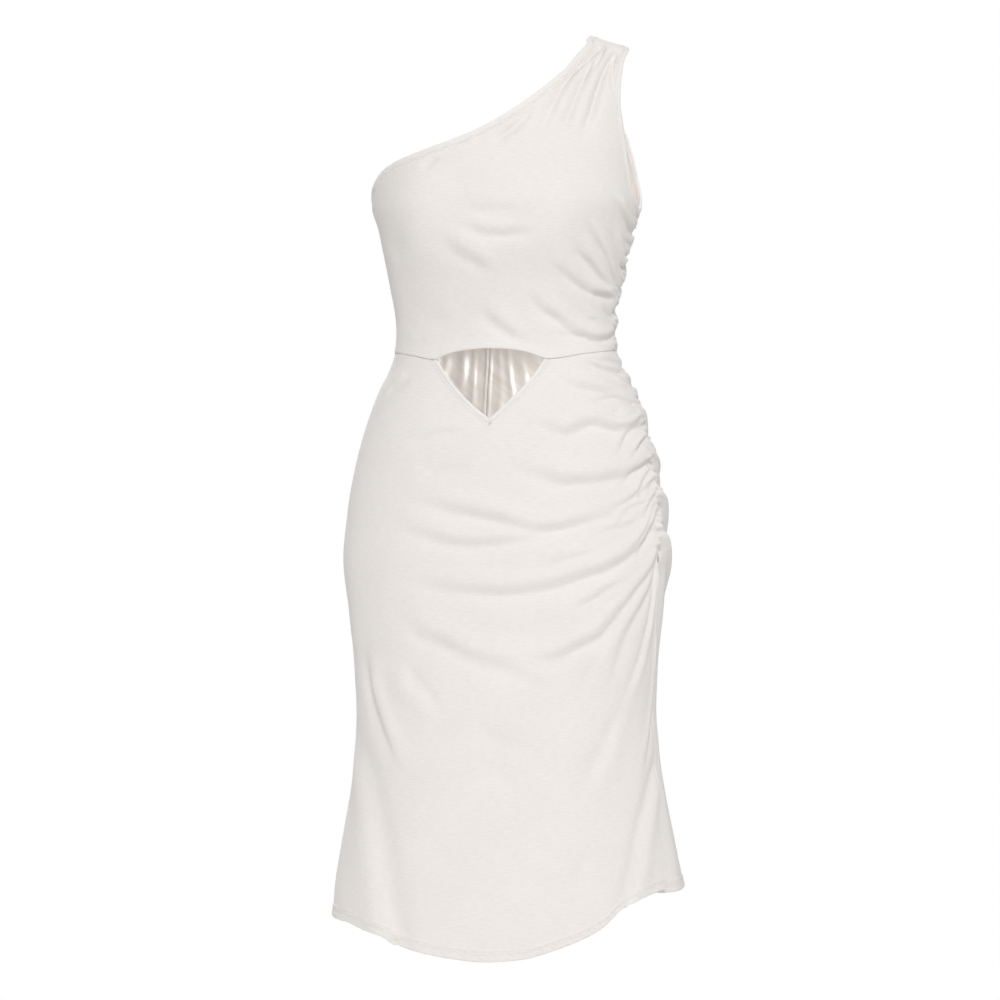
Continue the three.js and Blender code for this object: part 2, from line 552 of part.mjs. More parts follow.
// The skirt: rows gather at the ruched side seam and fan out to the plain side seam. Below the
// seam they end at the slit.
const FAN_DEPTH = -720;       // where the fan of gathered rows ends on the plain side
const FAN_SHARE = 0.6;        // of all rows
const FAN_BEND = 1.6;         // how late, on their way to the ruched seam, the rows bend up to it
const CORNER_PASSES = 6;
function skirtRows(half) {
  const isFront = half === FRONT;
  const slitAt = isFront ? slitFrontAt : slitBackAt;
  const hemAt = isFront ? hemFrontAt : hemBackAt;
  const gathers = gatherHeights(SEAM_GATHERS_SKIRT);
  const slitTop = gathers[gathers.length - 1];
  let cornerZ = hemAt(seamAt(slitTop));
  for (let pass = 0; pass < CORNER_PASSES; pass += 1) cornerZ = hemAt(slitAt(cornerZ));
  const slitZ = spread(slitTop, cornerZ, SLIT_ROWS[half.name]).slice(1);
  const ruchedZ = [gathers[0] - HALF_GAP, ...gathers.slice(1), ...slitZ];
  const ruched = ruchedZ.map((z) => {
    const t = z >= slitTop ? seamAt(z) : slitAt(z);
    return round([t, z], half.sign * HALF_GAP);
  });
  const plainT = round([half.sideT, slitTop], -half.sign * HALF_GAP)[0];
  const plainTop = waistAt(plainT) - HALF_GAP;
  const plainFoot = hemAt(half.sideT);
  const count = ruched.length - 1;
  const fanRows = Math.round(count * FAN_SHARE);
  const plainZ = (i) => (i <= fanRows ? plainTop + (FAN_DEPTH - plainTop) * i / fanRows
    : FAN_DEPTH + (plainFoot - FAN_DEPTH) * (i - fanRows) / (count - fanRows));
  const top = isFront ? frontTopEdge(plainT, ruched[0][0]) : backTopEdge(ruched[0][0], plainT);
  const topWidth = top[top.length - 1][0] - top[0][0];
  const ruchedColumn = isFront ? top.length - 1 : 0;
  return ruched.map((end, i) => {
    const plainShare = (plainZ(i) - plainTop) / (plainFoot - plainTop);
    const ruchedShare = (end[1] - ruched[0][1]) / (cornerZ - ruched[0][1]);
    return top.map(([topT, topZ], j) => {
      if (j === ruchedColumn) return end;
      const across = (topT - top[0][0]) / topWidth;
      const toRuched = isFront ? across : 1 - across;
      const t = plainT + (end[0] - plainT) * toRuched;
      const share = plainShare + (ruchedShare - plainShare) * toRuched ** FAN_BEND;
      return [t, topZ + (hemAt(t) - topZ) * share];
    });
  });
}

const skirtWall = (hemAt) => (t, z) => (z < hemAt(t) + HEM_HEIGHT ? HEM_WALL : WALL);

// Below the seam the back panel passes under the front panel's edge. It comes out again between
// two angles past that edge.
const UNDER_SLIT = { from: 1.5, to: 15 };
function underSlit(t, z) {
  if (z > SLIT_LIFT[0][0]) return 0;
  return slitLiftAt(z) * (1 - smooth(t - slitFrontAt(z), UNDER_SLIT.from, UNDER_SLIT.to));
}

// The satin lies inside a back panel, to the left or the right of its own seam, and is made from
// that panel's points.
function lining(name, panelRows, seamColumn, columns, side) {
  const from = side === 'left' ? seamColumn - columns : seamColumn;
  const rows = panelRows.map((row) => row.slice(from, from + columns + 1));
  rows.forEach((row) => {
    if (side === 'left') row[columns] = round(row[columns], -HALF_GAP);
    else row[0] = round(row[0], HALF_GAP);
  });
  return sheet(`lining_${name}_${side}`, satin, rows,
    { proud: () => -WALL - GAP, wall: () => SATIN });
}

const dress = new THREE.Group();
dress.name = 'one_shoulder_dress';
const plain = { wall: () => WALL };
const bodiceBack = bodiceRows(BACK, backShares());
const skirtBack = skirtRows(BACK);
dress.add(sheet('bodice_front', jersey, bodiceRows(FRONT, frontShares()), plain));
dress.add(sheet('bodice_back', jersey, bodiceBack, plain));
dress.add(sheet('skirt_front', jersey, skirtRows(FRONT), { wall: skirtWall(hemFrontAt) }));
dress.add(sheet('skirt_back', jersey, skirtBack, { proud: underSlit, wall: skirtWall(hemBackAt) }));
for (const half of [FRONT, BACK]) {
  dress.add(neckBinding(half));
  dress.add(armholeBinding(half));
}
const bodiceLined = bodiceBack.slice(-BODICE_LINING.rows - 1);
const skirtLined = skirtBack.slice(0, SKIRT_LINING.rows + 1);
for (const side of ['left', 'right']) {
  dress.add(cutoutBinding(side));
  dress.add(lining('bodice', bodiceLined, BODICE_BACK_COLUMNS[0], BODICE_LINING[side], side));
  dress.add(lining('skirt', skirtLined, SKIRT_BACK_COLUMNS[0], SKIRT_LINING[side], side));
}

export default dress;
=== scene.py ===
import json
import math

import bpy
import numpy as np
from mathutils import Matrix, Vector

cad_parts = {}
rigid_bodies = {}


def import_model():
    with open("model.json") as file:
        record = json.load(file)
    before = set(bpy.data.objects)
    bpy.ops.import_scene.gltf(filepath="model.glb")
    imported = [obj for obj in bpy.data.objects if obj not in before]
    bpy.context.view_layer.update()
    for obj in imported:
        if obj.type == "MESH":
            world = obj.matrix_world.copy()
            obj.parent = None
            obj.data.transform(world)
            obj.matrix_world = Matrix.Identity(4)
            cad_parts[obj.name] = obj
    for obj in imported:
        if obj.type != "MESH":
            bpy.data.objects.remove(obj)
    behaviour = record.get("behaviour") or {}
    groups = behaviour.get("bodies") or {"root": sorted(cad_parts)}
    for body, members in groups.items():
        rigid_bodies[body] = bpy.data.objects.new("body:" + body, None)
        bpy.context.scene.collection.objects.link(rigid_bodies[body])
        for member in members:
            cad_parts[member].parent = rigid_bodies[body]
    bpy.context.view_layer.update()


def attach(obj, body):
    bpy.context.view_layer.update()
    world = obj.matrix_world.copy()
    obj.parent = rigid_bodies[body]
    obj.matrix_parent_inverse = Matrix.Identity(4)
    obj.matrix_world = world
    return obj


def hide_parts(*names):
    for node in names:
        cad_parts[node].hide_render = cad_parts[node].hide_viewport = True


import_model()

# A one-shoulder midi dress in off-white jersey, worked in millimetres and set down in metres.
# t is an angle round the body: 0 at the front, 90 at the wearer's left, 180 at the back.
# z is a height: 0 at the neck end of the shoulder seam, and falling from there.

print("body: the surface that the cloth follows")
body = {
    "heldAt": (121.5, 0.0, -11.8),  # inner face of the strap on the shoulder, the frame's origin
    "squareness": 0.05,
    "neckBand": 9.0,  # finished widths of the bindings
    "armBand": 7.5,
    "cutoutBand": 7.0,
    "underBinding": 1.4,  # the panels run on under their bindings and under the bodice's lower edge
    "jersey": 1.7,  # thickness of the jersey and its backing
    "turned": 2.6,  # thickness where the hem is turned up
    # z, half width, depth of the front, depth of the back, shift toward the wearer's left
    "sections": [
        (4, 74, 40, 40, 0), (-3, 100.4, 44, 43, 0), (-10, 122, 49, 48, 0),
        (-18, 144.3, 52, 51, 0), (-26, 150.5, 60, 59, 0), (-45, 155.5, 78, 71, 0),
        (-70, 157.5, 94, 81, 0), (-120, 157, 108, 91, 0.5), (-180, 156.5, 119, 96, 0.5),
        (-200, 156, 121, 96.5, 0.5), (-226, 148.8, 119.5, 95.5, 1), (-250, 143.8, 117, 94, 1),
        (-296, 134.6, 102, 89, 0.5), (-343, 128.3, 90, 84.5, 0.2), (-366, 129.5, 88, 84.5, 0.5),
        (-390, 137.8, 88.5, 89, 1), (-413, 149.5, 91, 97, 1), (-460, 166.4, 96.5, 113, 0.5),
        (-506, 178.4, 100, 125.5, 0), (-553, 186, 103, 132, -0.5), (-610, 189.8, 107, 133, -1.5),
        (-670, 184.4, 110.5, 128.5, -0.3), (-740, 177.4, 115, 125, 0.2),
        (-786, 175.4, 118, 124.5, 0.6), (-833, 177.8, 121, 126, 1.4), (-880, 184.2, 124, 128, 2.4),
        (-950, 197.4, 128.5, 132, 3.4), (-996, 205, 131.5, 134.5, 3.8), (-1080, 210, 135, 136.5, 4),
    ],
    # broad forms that stand off the sections: t, z, height, width, length
    "mounds": [
        (-33, -208, 9, 40, 44), (33, -208, 9, 40, 44), (142, -150, 5, 45, 55), (218, -160, 4, 45, 50),
        (152, -575, 9, 62, 70), (208, -575, 9, 62, 70), (97, -200, 2.2, 26, 26),
    ],
}

# Edges of the cloth as (t, z) points.
edges = {
    "neckFront": [
        (90, -3), (65, -6), (46, -14), (38, -26.7), (30, -52.8), (20.5, -77), (9, -100.4),
        (-6, -122.7), (-28, -143.3), (-51, -161.5), (-67, -178), (-80, -185.5), (-90, -188),
    ],
    "neckBack": [
        (90, -3), (115, -6), (133, -13), (143, -27), (152, -47), (164, -72), (180, -96),
        (198, -117), (218, -138), (238, -158), (252, -173), (262, -183), (270, -188),
    ],
    "armFront": [
        (90, -18), (82, -20.5), (74.5, -26), (67.5, -34), (64.2, -44), (61.4, -71), (61.4, -88),
        (63, -108), (65.4, -125), (68, -142), (71.5, -166), (77, -188), (90, -205),
    ],
    "armBack": [
        (90, -18), (108, -20.5), (121, -28), (127.5, -44), (129.5, -74), (128.5, -100), (124.5, -119),
        (120, -137), (113, -159), (105, -178), (97.5, -193), (90, -205),
    ],
    "waist": [
        (-90, -370), (-66, -370.5), (-45, -375), (-28.3, -380.5), (-27.6, -379.6), (-25, -376.8),
        (-20.6, -373.5), (-12, -370.3), (-3, -368.9), (5.3, -369.3), (14, -371.8), (18.4, -374),
        (22.5, -377.3), (24.9, -380.2), (25.5, -381), (50, -374),
        (70, -370), (90, -368), (130, -371), (180, -374), (230, -372), (270, -370),
    ],
    "veeRight": [(-28.3, -380.5), (-15.8, -412.4), (-7.1, -434.3), (-0.3, -448.5)],
    "veeLeft": [(-0.3, -448.5), (6.3, -431.5), (14.7, -410.7), (25.5, -381)],
    "hemFront": [
        (-90, -1026), (-79, -1026.5), (-54.6, -1026), (-42.6, -1032), (-35, -1036.5),
        (-30, -1045), (-22.7, -1051), (-11.5, -1057), (-2, -1059.5), (10.5, -1056),
        (21.5, -1044.5), (35.5, -1022.8), (43.6, -1001.5), (51.3, -990.5), (59.2, -985.5), (66, -983),
    ],
    "hemBack": [
        (50, -984), (62, -985.5), (70, -988), (99, -989), (110, -992), (120, -996.5), (130, -1003),
        (140, -1013), (150, -1025), (165, -1034), (180, -1038), (225, -1041), (270, -1026),
    ],
}

# Lines that go by height, as (z, t) points.
upright = {
    "sideSeam": [(-190, 90), (-368, 89), (-425, 88), (-472, 82.5), (-518, 79), (-564, 76.5), (-597, 75)],
    "slitFront": [
        (-597, 75), (-655, 76), (-702, 80), (-748, 83), (-796, 84.5), (-829, 84), (-854, 80.5),
        (-924, 73), (-955, 70.5), (-990, 64.5),
    ],
    "slitBack": [
        (-597, 75), (-608, 76.6), (-620, 75.6), (-634, 74), (-655, 73.5), (-690, 74), (-748, 76),
        (-796, 76), (-854, 72), (-924, 65), (-990, 57),
    ],
    # how far the back panel lies outside or inside the front panel's surface at the slit
    "slitLift": [
        (-590, 0), (-597, 0), (-608, 0), (-620, -2.5), (-634, -4.5), (-652, -5), (-690, -6), (-1060, -6),
    ],
}


# A monotone cubic through (x, y) points, so that it never swings past them.
def curveThrough(points):
    points = np.array(sorted(points), float)
    xs, ys = points[:, 0], points[:, 1]
    steps = np.diff(xs)
    slopes = np.diff(ys) / steps
    before, after = slopes[:-1], slopes[1:]
    turning = before * after <= 0
    near = 2 * steps[1:] + steps[:-1]
    far = steps[1:] + 2 * steps[:-1]
    inner = (near + far) / (near / np.where(turning, 1, before) + far / np.where(turning, 1, after))
    tangents = np.concatenate([[slopes[0]], np.where(turning, 0, inner), [slopes[-1]]])

    def at(x):
        x = np.clip(x, xs[0], xs[-1])
        k = np.clip(np.searchsorted(xs, x, side="right") - 1, 0, len(steps) - 1)
        h = steps[k]
        s = (x - xs[k]) / h
        start = (2 * s**3 - 3 * s**2 + 1) * ys[k] + (s**3 - 2 * s**2 + s) * h * tangents[k]
        return start + (3 * s**2 - 2 * s**3) * ys[k + 1] + (s**3 - s**2) * h * tangents[k + 1]

    return at


def smoothStep(x, start, end):
    s = np.clip((x - start) / (end - start), 0, 1)
    return s * s * (3 - 2 * s)


halfAt, frontAt, backAt, shiftAt = (
    curveThrough([(row[0], row[k]) for row in body["sections"]]) for k in (1, 2, 3, 4))
waistAt, hemFrontAt, hemBackAt = (curveThrough(edges[k]) for k in ("waist", "hemFront", "hemBack"))
sideSeamAt, slitFrontAt, slitBackAt, slitLiftAt = (
    curveThrough(upright[k]) for k in ("sideSeam", "slitFront", "slitBack", "slitLift"))


def bodyPoint(t, z):
    angle = np.radians(t)
    square = 1 + body["squareness"] * np.sin(2 * angle) ** 2
    depth = np.where(np.cos(angle) >= 0, frontAt(z), backAt(z))
    x = shiftAt(z) + halfAt(z) * np.sin(angle) * square
    return np.stack([x, -depth * np.cos(angle) * square, z + 0 * t], -1)


# How the point moves for one degree of t and for one millimetre of z.
def bodySlopes(t, z):
    return bodyPoint(t + 0.5, z) - bodyPoint(t - 0.5, z), bodyPoint(t, z + 0.5) - bodyPoint(t, z - 0.5)


def outward(t, z):
    normal = np.cross(*bodySlopes(t, z))
    return normal / np.linalg.norm(normal, axis=-1, keepdims=True)


# How many millimetres one degree of t spans.
def perDegree(t, z):
    angle = np.radians(t)
    depth = np.where(np.cos(angle) >= 0, frontAt(z), backAt(z))
    return np.hypot(halfAt(z) * np.cos(angle), depth * np.sin(angle)) * math.radians(1)


# An edge as two curves of its length, from 0 to 1.
def edgeLine(points):
    points = np.array(points, float)
    places = bodyPoint(points[:, 0], points[:, 1])
    run = np.concatenate([[0], np.cumsum(np.linalg.norm(np.diff(places, axis=0), axis=1))])
    run /= run[-1]
    tAt = curveThrough(list(zip(run, points[:, 0])))
    zAt = curveThrough(list(zip(run, points[:, 1])))
    return lambda u: (tAt(u), zAt(u))


# Points that lie wide millimetres inside an edge, square to it, on its left (1) or right (-1).
def insetLine(edge, u, wide, side):
    t, z = edge(u)
    step = 0.01
    ahead = bodyPoint(*edge(np.minimum(1, u + step))) - bodyPoint(*edge(np.maximum(0, u - step)))
    square = np.cross(outward(t, z), ahead)
    square /= np.linalg.norm(square, axis=-1, keepdims=True)
    goal = bodyPoint(t, z) + square * wide * side
    for attempt in range(5):
        dt, dz = bodySlopes(t, z)
        miss = goal - bodyPoint(t, z)
        tt, tz, zz = (dt * dt).sum(-1), (dt * dz).sum(-1), (dz * dz).sum(-1)
        det = tt * zz - tz * tz
        t = t + ((miss * dt).sum(-1) * zz - (miss * dz).sum(-1) * tz) / det
        z = z + ((miss * dz).sum(-1) * tt - (miss * dt).sum(-1) * tz) / det
    return t, z


folds = {
    "puff": 3.1,  # from a pinch of the ruched seam to the top of the puff beside it
    "puffWidth": 20,
    "pucker": 1.8,  # small puckers right at the ruched seam
    "puckerWidth": 6,
    "puckerPitch": 1.35,
    "puckerDrift": (1.8, 11),  # how their spacing changes down the seam
    "puckerSlant": 5,
    "ruchedFrom": (205, 225),  # depths over which the puckers begin and end
    "ruchedTo": (590, 604),
    "fadeIn": 0.36,  # share of a crease's length
    "fadeOut": 0.92,
    "atSeam": 0.8,  # share of a crease's depth left at the seam
    "fan": 0.75,  # how much wider a crease is at its far end
    "seamReach": 16,  # a crease ends at the side seam when it comes this near, in degrees
    "shoulderFoot": -70,  # and at the shoulder seam when it ends above this height
    # places and widths across a fold, in the crease's own width
    "valleyAt": -0.55,
    "valleyWidth": 0.85,
    "rollAt": 0.85,
    "rollWidth": 1.05,
    "rollHeight": 0.8,  # share of the depth
    "reach": 4.5,
    # the profile of a sharp crease: a tent with its tip rounded off
    "tentFall": 1.5,
    "tentRound": 0.05,
    "tentTip": 0.224,
    "tentEnd": 3.5,
    "wander": 1.0,  # how far the creases stray from their lines
    "wanderT": (17, 0.4),  # size and turn of the unevenness
    "wanderZ": (15, 2.1),
    "uneven": 0.35,  # height of the cloth's slow unevenness
    "slowWaves": (26, 1.0),
    "shortWaves": (11, 3.3),
    "shortShare": 0.6,
    "pinchesBodice": [-212.5, -230, -245, -259, -272, -301, -325, -349, -368],
    "pinchesSkirt": [-368, -391, -407, -430, -452.5, -473.5, -498, -522.5, -549, -577, -597],
}

# Creases run from their far end to the seam: points as (t, z), depth, width, sharpness from 0 to 1,
# and the side where the cloth rolls over the crease: 1 on the line's left, -1 on its right.
creases = [
    # from the shoulder seam down the front
    ([(18.9, -139), (21.3, -126), (24.2, -107), (27.1, -91), (30.5, -72), (33.9, -56), (37.8, -44),
      (44.7, -28), (51.7, -18)], 6.2, 4.4, 0.6, 0),
    ([(29.6, -139), (32.3, -116), (34.2, -99), (36.8, -82), (38.8, -68), (41, -53), (43.8, -38)],
     5.8, 5.2, 0.5, 0),
    ([(38.3, -142), (41.9, -116), (44.8, -95), (47.1, -75), (49.7, -57), (53, -42), (58.3, -29)],
     6.6, 5.2, 0.5, 0),
    ([(56.3, -77), (55.8, -60), (56.7, -45), (59.8, -31)], 4.2, 3.6, 0.6, 0),
    ([(44.3, -54), (45.9, -44), (47.7, -36), (51.5, -23)], 3.4, 3, 0.7, 0),
    # from the neck edge
    ([(7.4, -135), (9.3, -127), (12.9, -115), (16.4, -105), (19.4, -95)], 4, 4.4, 0.4, 0),
    ([(2.1, -142), (5.3, -132), (8.3, -124), (12, -112)], 3.7, 3.8, 0.5, 0),
    ([(-28.6, -166), (-23.6, -159), (-20.1, -153)], 2.2, 4, 0.4, 0),
    # over and under the bust
    ([(-13.3, -208), (-8.5, -210), (-2.1, -211), (8.8, -210), (16.8, -213)], 1.5, 6, 0.2, 1),
    ([(-16.7, -224), (-9.1, -230), (-2.3, -236), (6.2, -239), (14.5, -237), (23.9, -236)],
     2.3, 6.2, 0.3, 1),
    ([(-22.5, -239), (-16.7, -251), (-11.7, -261), (-6.5, -268), (-0.2, -277), (5.1, -284)],
     2.2, 8, 0.2, 1),
    ([(-6, -317), (-2.1, -326), (2.3, -336), (8.2, -346), (14.7, -356), (19.5, -365)], 2.6, 7, 0.2, 1),
    ([(-48.3, -223), (-43, -236), (-40.5, -252), (-43.5, -267), (-52.2, -282)], 1.5, 14, 0.1, 1),
    ([(-54.3, -360), (-48.9, -358), (-43.7, -358)], 0.4, 4, 0.3, 1),
    ([(-50.6, -336), (-44.5, -347), (-39.9, -359)], 0.4, 4, 0.3, -1),
    ([(-40, -321), (-31.3, -326), (-23.6, -338), (-17.3, -350)], 0.7, 9, 0.1, 1),
    # bodice, from the ruched seam
    ([(55.8, -191), (59.5, -198), (63, -204), (70.6, -216), (79.5, -224), (88.7, -230)], 3.3, 3.6, 0.9, 1),
    ([(60.2, -225), (63.8, -235), (70.9, -251), (78.1, -263), (88.7, -272)], 2.8, 4.4, 0.7, 1),
    ([(42.1, -220), (44.5, -227), (47.5, -235), (53.1, -249), (60.2, -263), (67, -277), (79.6, -292)],
     3.4, 4, 0.8, 1),
    ([(38.5, -239), (40.3, -246), (43.3, -256), (46.6, -265), (54.1, -278), (61.2, -289), (72.2, -298)],
     3.4, 4.4, 0.7, 1),
    ([(28.2, -263), (30.2, -269), (34, -276), (39.4, -286), (44.7, -294), (51.7, -301), (59.9, -305),
      (74.1, -307)], 3.4, 5, 0.7, 1),
    ([(54, -303), (59.1, -307), (65.2, -308), (75.8, -307)], 1.8, 3, 0.8, 0),
    ([(47.8, -300), (50.8, -311), (54.8, -321)], 1.3, 4, 0.5, 1),
    ([(50.9, -332), (54.7, -333), (60.7, -333)], 0.9, 2.4, 0.7, 1),
    ([(61.5, -319), (69, -326), (75.9, -330), (85.4, -330)], 1.9, 3, 0.8, 0),
    ([(15.5, -297), (18.4, -304), (22.5, -312), (27.6, -324), (34.3, -333), (39.8, -343), (45.7, -350),
      (54.5, -355), (65, -355), (81, -351)], 3.9, 5.4, 0.7, 1),
    ([(29, -346), (34.2, -350), (41.1, -353), (48.8, -353)], 1.4, 4, 0.5, 1),
    ([(59.8, -365), (64.1, -361), (70, -364), (77.8, -368)], 1.1, 2.6, 0.8, 0),
    ([(44, -360), (48.6, -357), (54.4, -356)], 1, 2.4, 0.7, -1),
    # skirt, from the ruched seam
    ([(52, -374), (57, -378), (67.6, -380), (81.6, -383)], 2.3, 2.8, 0.8, 1),
    ([(43.2, -381), (47.1, -382), (51.9, -385), (60.3, -390), (68.5, -392), (78.2, -394)],
     3.2, 3.2, 0.8, 1),
    ([(30.4, -391), (32.2, -396), (34.8, -403), (40.7, -409), (47.9, -413), (56.2, -416), (65.5, -416)],
     3.4, 5.5, 0.4, 1),
    ([(62.3, -403), (66.5, -405), (70.3, -408), (77.2, -411)], 2.1, 2.6, 0.9, 1),
    ([(46.8, -424), (52.2, -422), (58.5, -422), (66.3, -423)], 0.9, 2.2, 0.7, 1),
    ([(40.9, -436), (43.7, -432), (46.9, -429), (52.6, -426), (60.1, -425), (68, -428), (76.2, -431)],
     3.7, 3, 1, 0),
    ([(49.3, -443), (52.2, -447), (56.4, -449), (63.4, -449), (76.2, -441)], 2, 2.8, 0.8, -1),
    ([(53.1, -446), (56.5, -440), (61, -436)], 1.1, 2.4, 0.7, 0),
    ([(10.8, -448), (13.6, -450), (17.5, -452), (21.9, -454), (26.2, -460), (28.7, -463), (32.5, -460),
      (37.7, -454), (42.3, -452), (46.1, -454), (51.8, -458), (56.3, -459), (64.9, -454), (78.3, -448)],
     4.2, 6, 0.4, 1),
    ([(47.4, -490), (49.6, -486), (52.6, -480), (57.3, -469), (63.9, -461), (71.8, -457), (87.2, -453)],
     3.4, 3, 0.9, 1),
    ([(60.6, -488), (64.7, -482), (69.5, -476), (78, -469)], 2.8, 2.6, 1, 1),
    ([(55.6, -497), (58.9, -490), (63.7, -483), (70.4, -475)], 1.4, 2.2, 0.7, 1),
    ([(3, -488), (6.6, -495), (12.5, -504), (17.7, -510), (23.4, -514), (28.7, -517), (35, -517),
      (42, -515), (50, -511), (59.3, -505), (72.3, -496)], 3.7, 7.7, 0.3, 1),
    ([(14.8, -537), (17.8, -534), (24.3, -528), (29.3, -524), (35.4, -519), (41, -515)], 1.7, 6, 0.2, 0),
    ([(47.1, -529), (49, -525), (51.1, -521), (54.7, -514), (58.9, -507), (67.1, -501), (77.2, -494)],
     2.2, 3, 0.9, 1),
    ([(41.6, -554), (45, -550), (49.8, -545), (55.4, -538), (60.6, -529), (65.7, -517), (72.6, -507)],
     2.4, 3, 0.8, 1),
    ([(55.6, -546), (58.3, -541), (62.3, -532), (67.5, -525), (76.5, -515)], 1.8, 2.6, 0.9, 1),
    ([(48.4, -561), (50.5, -555), (53.2, -550), (56.8, -547), (62.3, -544)], 1.4, 2.6, 0.8, 1),
    ([(59.2, -567), (61.9, -559), (65.4, -551), (69.6, -541), (76.2, -530)], 1.8, 2.6, 0.9, 1),
    ([(64.3, -538), (69, -529), (75.4, -519), (83.3, -511)], 1, 2, 0.8, 1),
    ([(-37.2, -531), (-33.1, -534), (-27.5, -538), (-20.4, -544), (-13.7, -549), (-4.9, -555),
      (3.7, -561), (11, -568), (17.6, -571), (24.7, -570), (30.9, -566), (37.4, -561), (42.8, -556),
      (48.2, -551), (55.1, -545)], 3.9, 7.2, 0.3, 1),
    ([(-37.7, -564), (-33.1, -569), (-28.1, -574), (-21.8, -581), (-15.4, -586), (-8.2, -589),
      (1.1, -588), (8, -586), (14.9, -582), (23.7, -577), (29.4, -573)], 3.5, 7, 0.3, 1),
    ([(35.8, -583), (38.9, -578), (41.9, -574), (45.1, -573), (47.4, -568), (49.6, -561), (54.8, -551)],
     1.2, 3, 0.7, 1),
    ([(43.1, -578), (46.4, -574), (49.8, -570), (54.4, -567), (59.4, -559)], 1.2, 3, 0.7, 1),
    ([(16.7, -618), (19.8, -614), (22.8, -610), (27.8, -605), (35.1, -599), (39.6, -596)],
     1.7, 4.4, 0.5, 1),
    ([(-36.1, -618), (-32.8, -620), (-27.6, -628), (-20.1, -635), (-12.9, -640), (-3.4, -641),
      (4.7, -643), (11, -642), (16.5, -640), (22.6, -636), (26.4, -632), (29.9, -628),
      (35.1, -622), (40.7, -618), (46.7, -610), (52.3, -602), (56.7, -594), (62.3, -583), (67.6, -570),
      (73.2, -556)], 4.1, 7.2, 0.4, 1),
    ([(51.3, -599), (54.5, -592), (58.8, -582), (62.5, -572), (66.3, -559), (71.1, -547)],
     1.5, 2.4, 0.9, 1),
    ([(55.1, -619), (56.5, -613), (58.1, -600), (62.2, -587), (66.5, -573), (71.2, -561)],
     1.8, 2.6, 0.9, 1),
    ([(27.9, -670), (30.6, -663), (33.4, -657), (37.7, -650), (42.2, -641), (47, -633), (51, -625)],
     1.7, 4, 0.5, 1),
    ([(-38, -669), (-34.2, -674), (-28.7, -680), (-23.6, -693), (-16, -701), (-11, -709), (-3.6, -718),
      (6.2, -727), (12.3, -734), (18.4, -744), (25.1, -746), (29.4, -744)], 3.5, 8.4, 0.2, 1),
    ([(-0.9, -710), (4.9, -715), (11.5, -718), (18.2, -720), (23.6, -717), (27.5, -712), (31.2, -706),
      (36.6, -699), (40, -694), (43.8, -683), (48.1, -669), (51.9, -658), (57.1, -642), (63.4, -626),
      (68, -613), (72.9, -596)], 3.5, 6, 0.6, 1),
    ([(44.1, -767), (45.3, -756), (46.4, -742), (47.6, -730), (51.3, -700), (56, -678), (61.7, -658),
      (66.8, -639), (71.1, -620), (74, -602)], 3, 6, 0.4, 1),
    ([(32.6, -762), (36.3, -747), (39.3, -730), (41.9, -716)], 1.1, 6, 0.1, 0),
    ([(39, -716), (41.5, -705), (44.6, -692), (48.2, -679), (52.3, -667)], 1, 4, 0.4, 0),
    ([(52.5, -792), (54.2, -780), (56.4, -766), (59.3, -751), (63.8, -728), (67.2, -704), (69.8, -685),
      (71.7, -658), (72.6, -635), (73.9, -610)], 2.8, 3.6, 0.8, -1),
    ([(74.4, -701), (73.9, -681), (74.4, -660), (74.5, -642), (74.8, -619)], 1.5, 2.4, 0.8, 0),
    ([(34.4, -885), (36.8, -869), (39.9, -849), (44.2, -829), (48.1, -808), (52.2, -792), (56.5, -773)],
     3, 7.2, 0.2, -1),
    ([(61.9, -859), (65.5, -846), (71.9, -822), (77.2, -801), (81.6, -771), (82, -734), (80.9, -702)],
     2.7, 3.6, 0.7, 1),
    ([(60.1, -878), (64.8, -867), (70.7, -858), (78.1, -845)], 0.8, 2.6, 0.6, 0),
    # broad and soft ones over the skirt
    ([(-33.2, -720), (-29.7, -748), (-25.3, -760), (-21.1, -774), (-16.9, -790)], 2.5, 7, 0.1, -1),
    ([(-6.1, -791), (-1.2, -802), (4, -813), (12.4, -820), (21.5, -815)], 3.1, 9, 0.1, 0),
    ([(-3.1, -839), (2, -845), (8.6, -842)], 2, 8, 0.1, 0),
    ([(10.6, -981), (17, -973), (22.2, -967)], 1.7, 7, 0.1, 0),
    ([(23, -994), (30, -990), (37.2, -982)], 1.5, 5, 0.3, 0),
    ([(-34.8, -472), (-29.1, -470), (-23.3, -466), (-17.2, -462), (-9.5, -460)], 2.1, 5, 0.2, 1),
    ([(-29.6, -506), (-22.2, -508), (-15.3, -507), (-5.6, -503)], 2.1, 6, 0.1, 0),
    ([(-57, -410), (-50, -407), (-45.4, -404), (-41.4, -397)], 2.9, 6, 0.2, 1),
    ([(-52.2, -702), (-51.6, -732), (-50.3, -755), (-46.2, -783), (-41.2, -810), (-36.8, -832),
      (-32.1, -854)], 5.5, 7, 0.3, 1),
    ([(27, -981), (29, -967), (31.5, -947), (33.9, -928)], 2, 7, 0.1, 0),
    # the short seam under the cut-out
    ([(-0.3, -455), (-0.3, -468), (-0.2, -486)], 1, 1.2, 1, 0),
    # back, from the ruched seam
    ([(150, -300), (138, -272), (118, -262), (94, -272)], 3.6, 8, 0.5, 1),
    ([(158, -352), (140, -334), (118, -322), (94, -325)], 3.9, 8, 0.5, 1),
    ([(214, -262), (196, -285), (176, -300)], 2.9, 14, 0.1, 0),
    ([(158, -468), (140, -462), (118, -448), (94, -430)], 3.9, 8, 0.5, 1),
    ([(196, -512), (172, -520), (140, -506), (112, -486), (90, -473)], 5.2, 10, 0.4, 1),
    ([(208, -640), (182, -648), (146, -618), (112, -560), (86, -522)], 5.7, 11, 0.4, 1),
    ([(186, -742), (160, -728), (128, -670), (104, -606), (84, -560)], 5.2, 11, 0.5, 1),
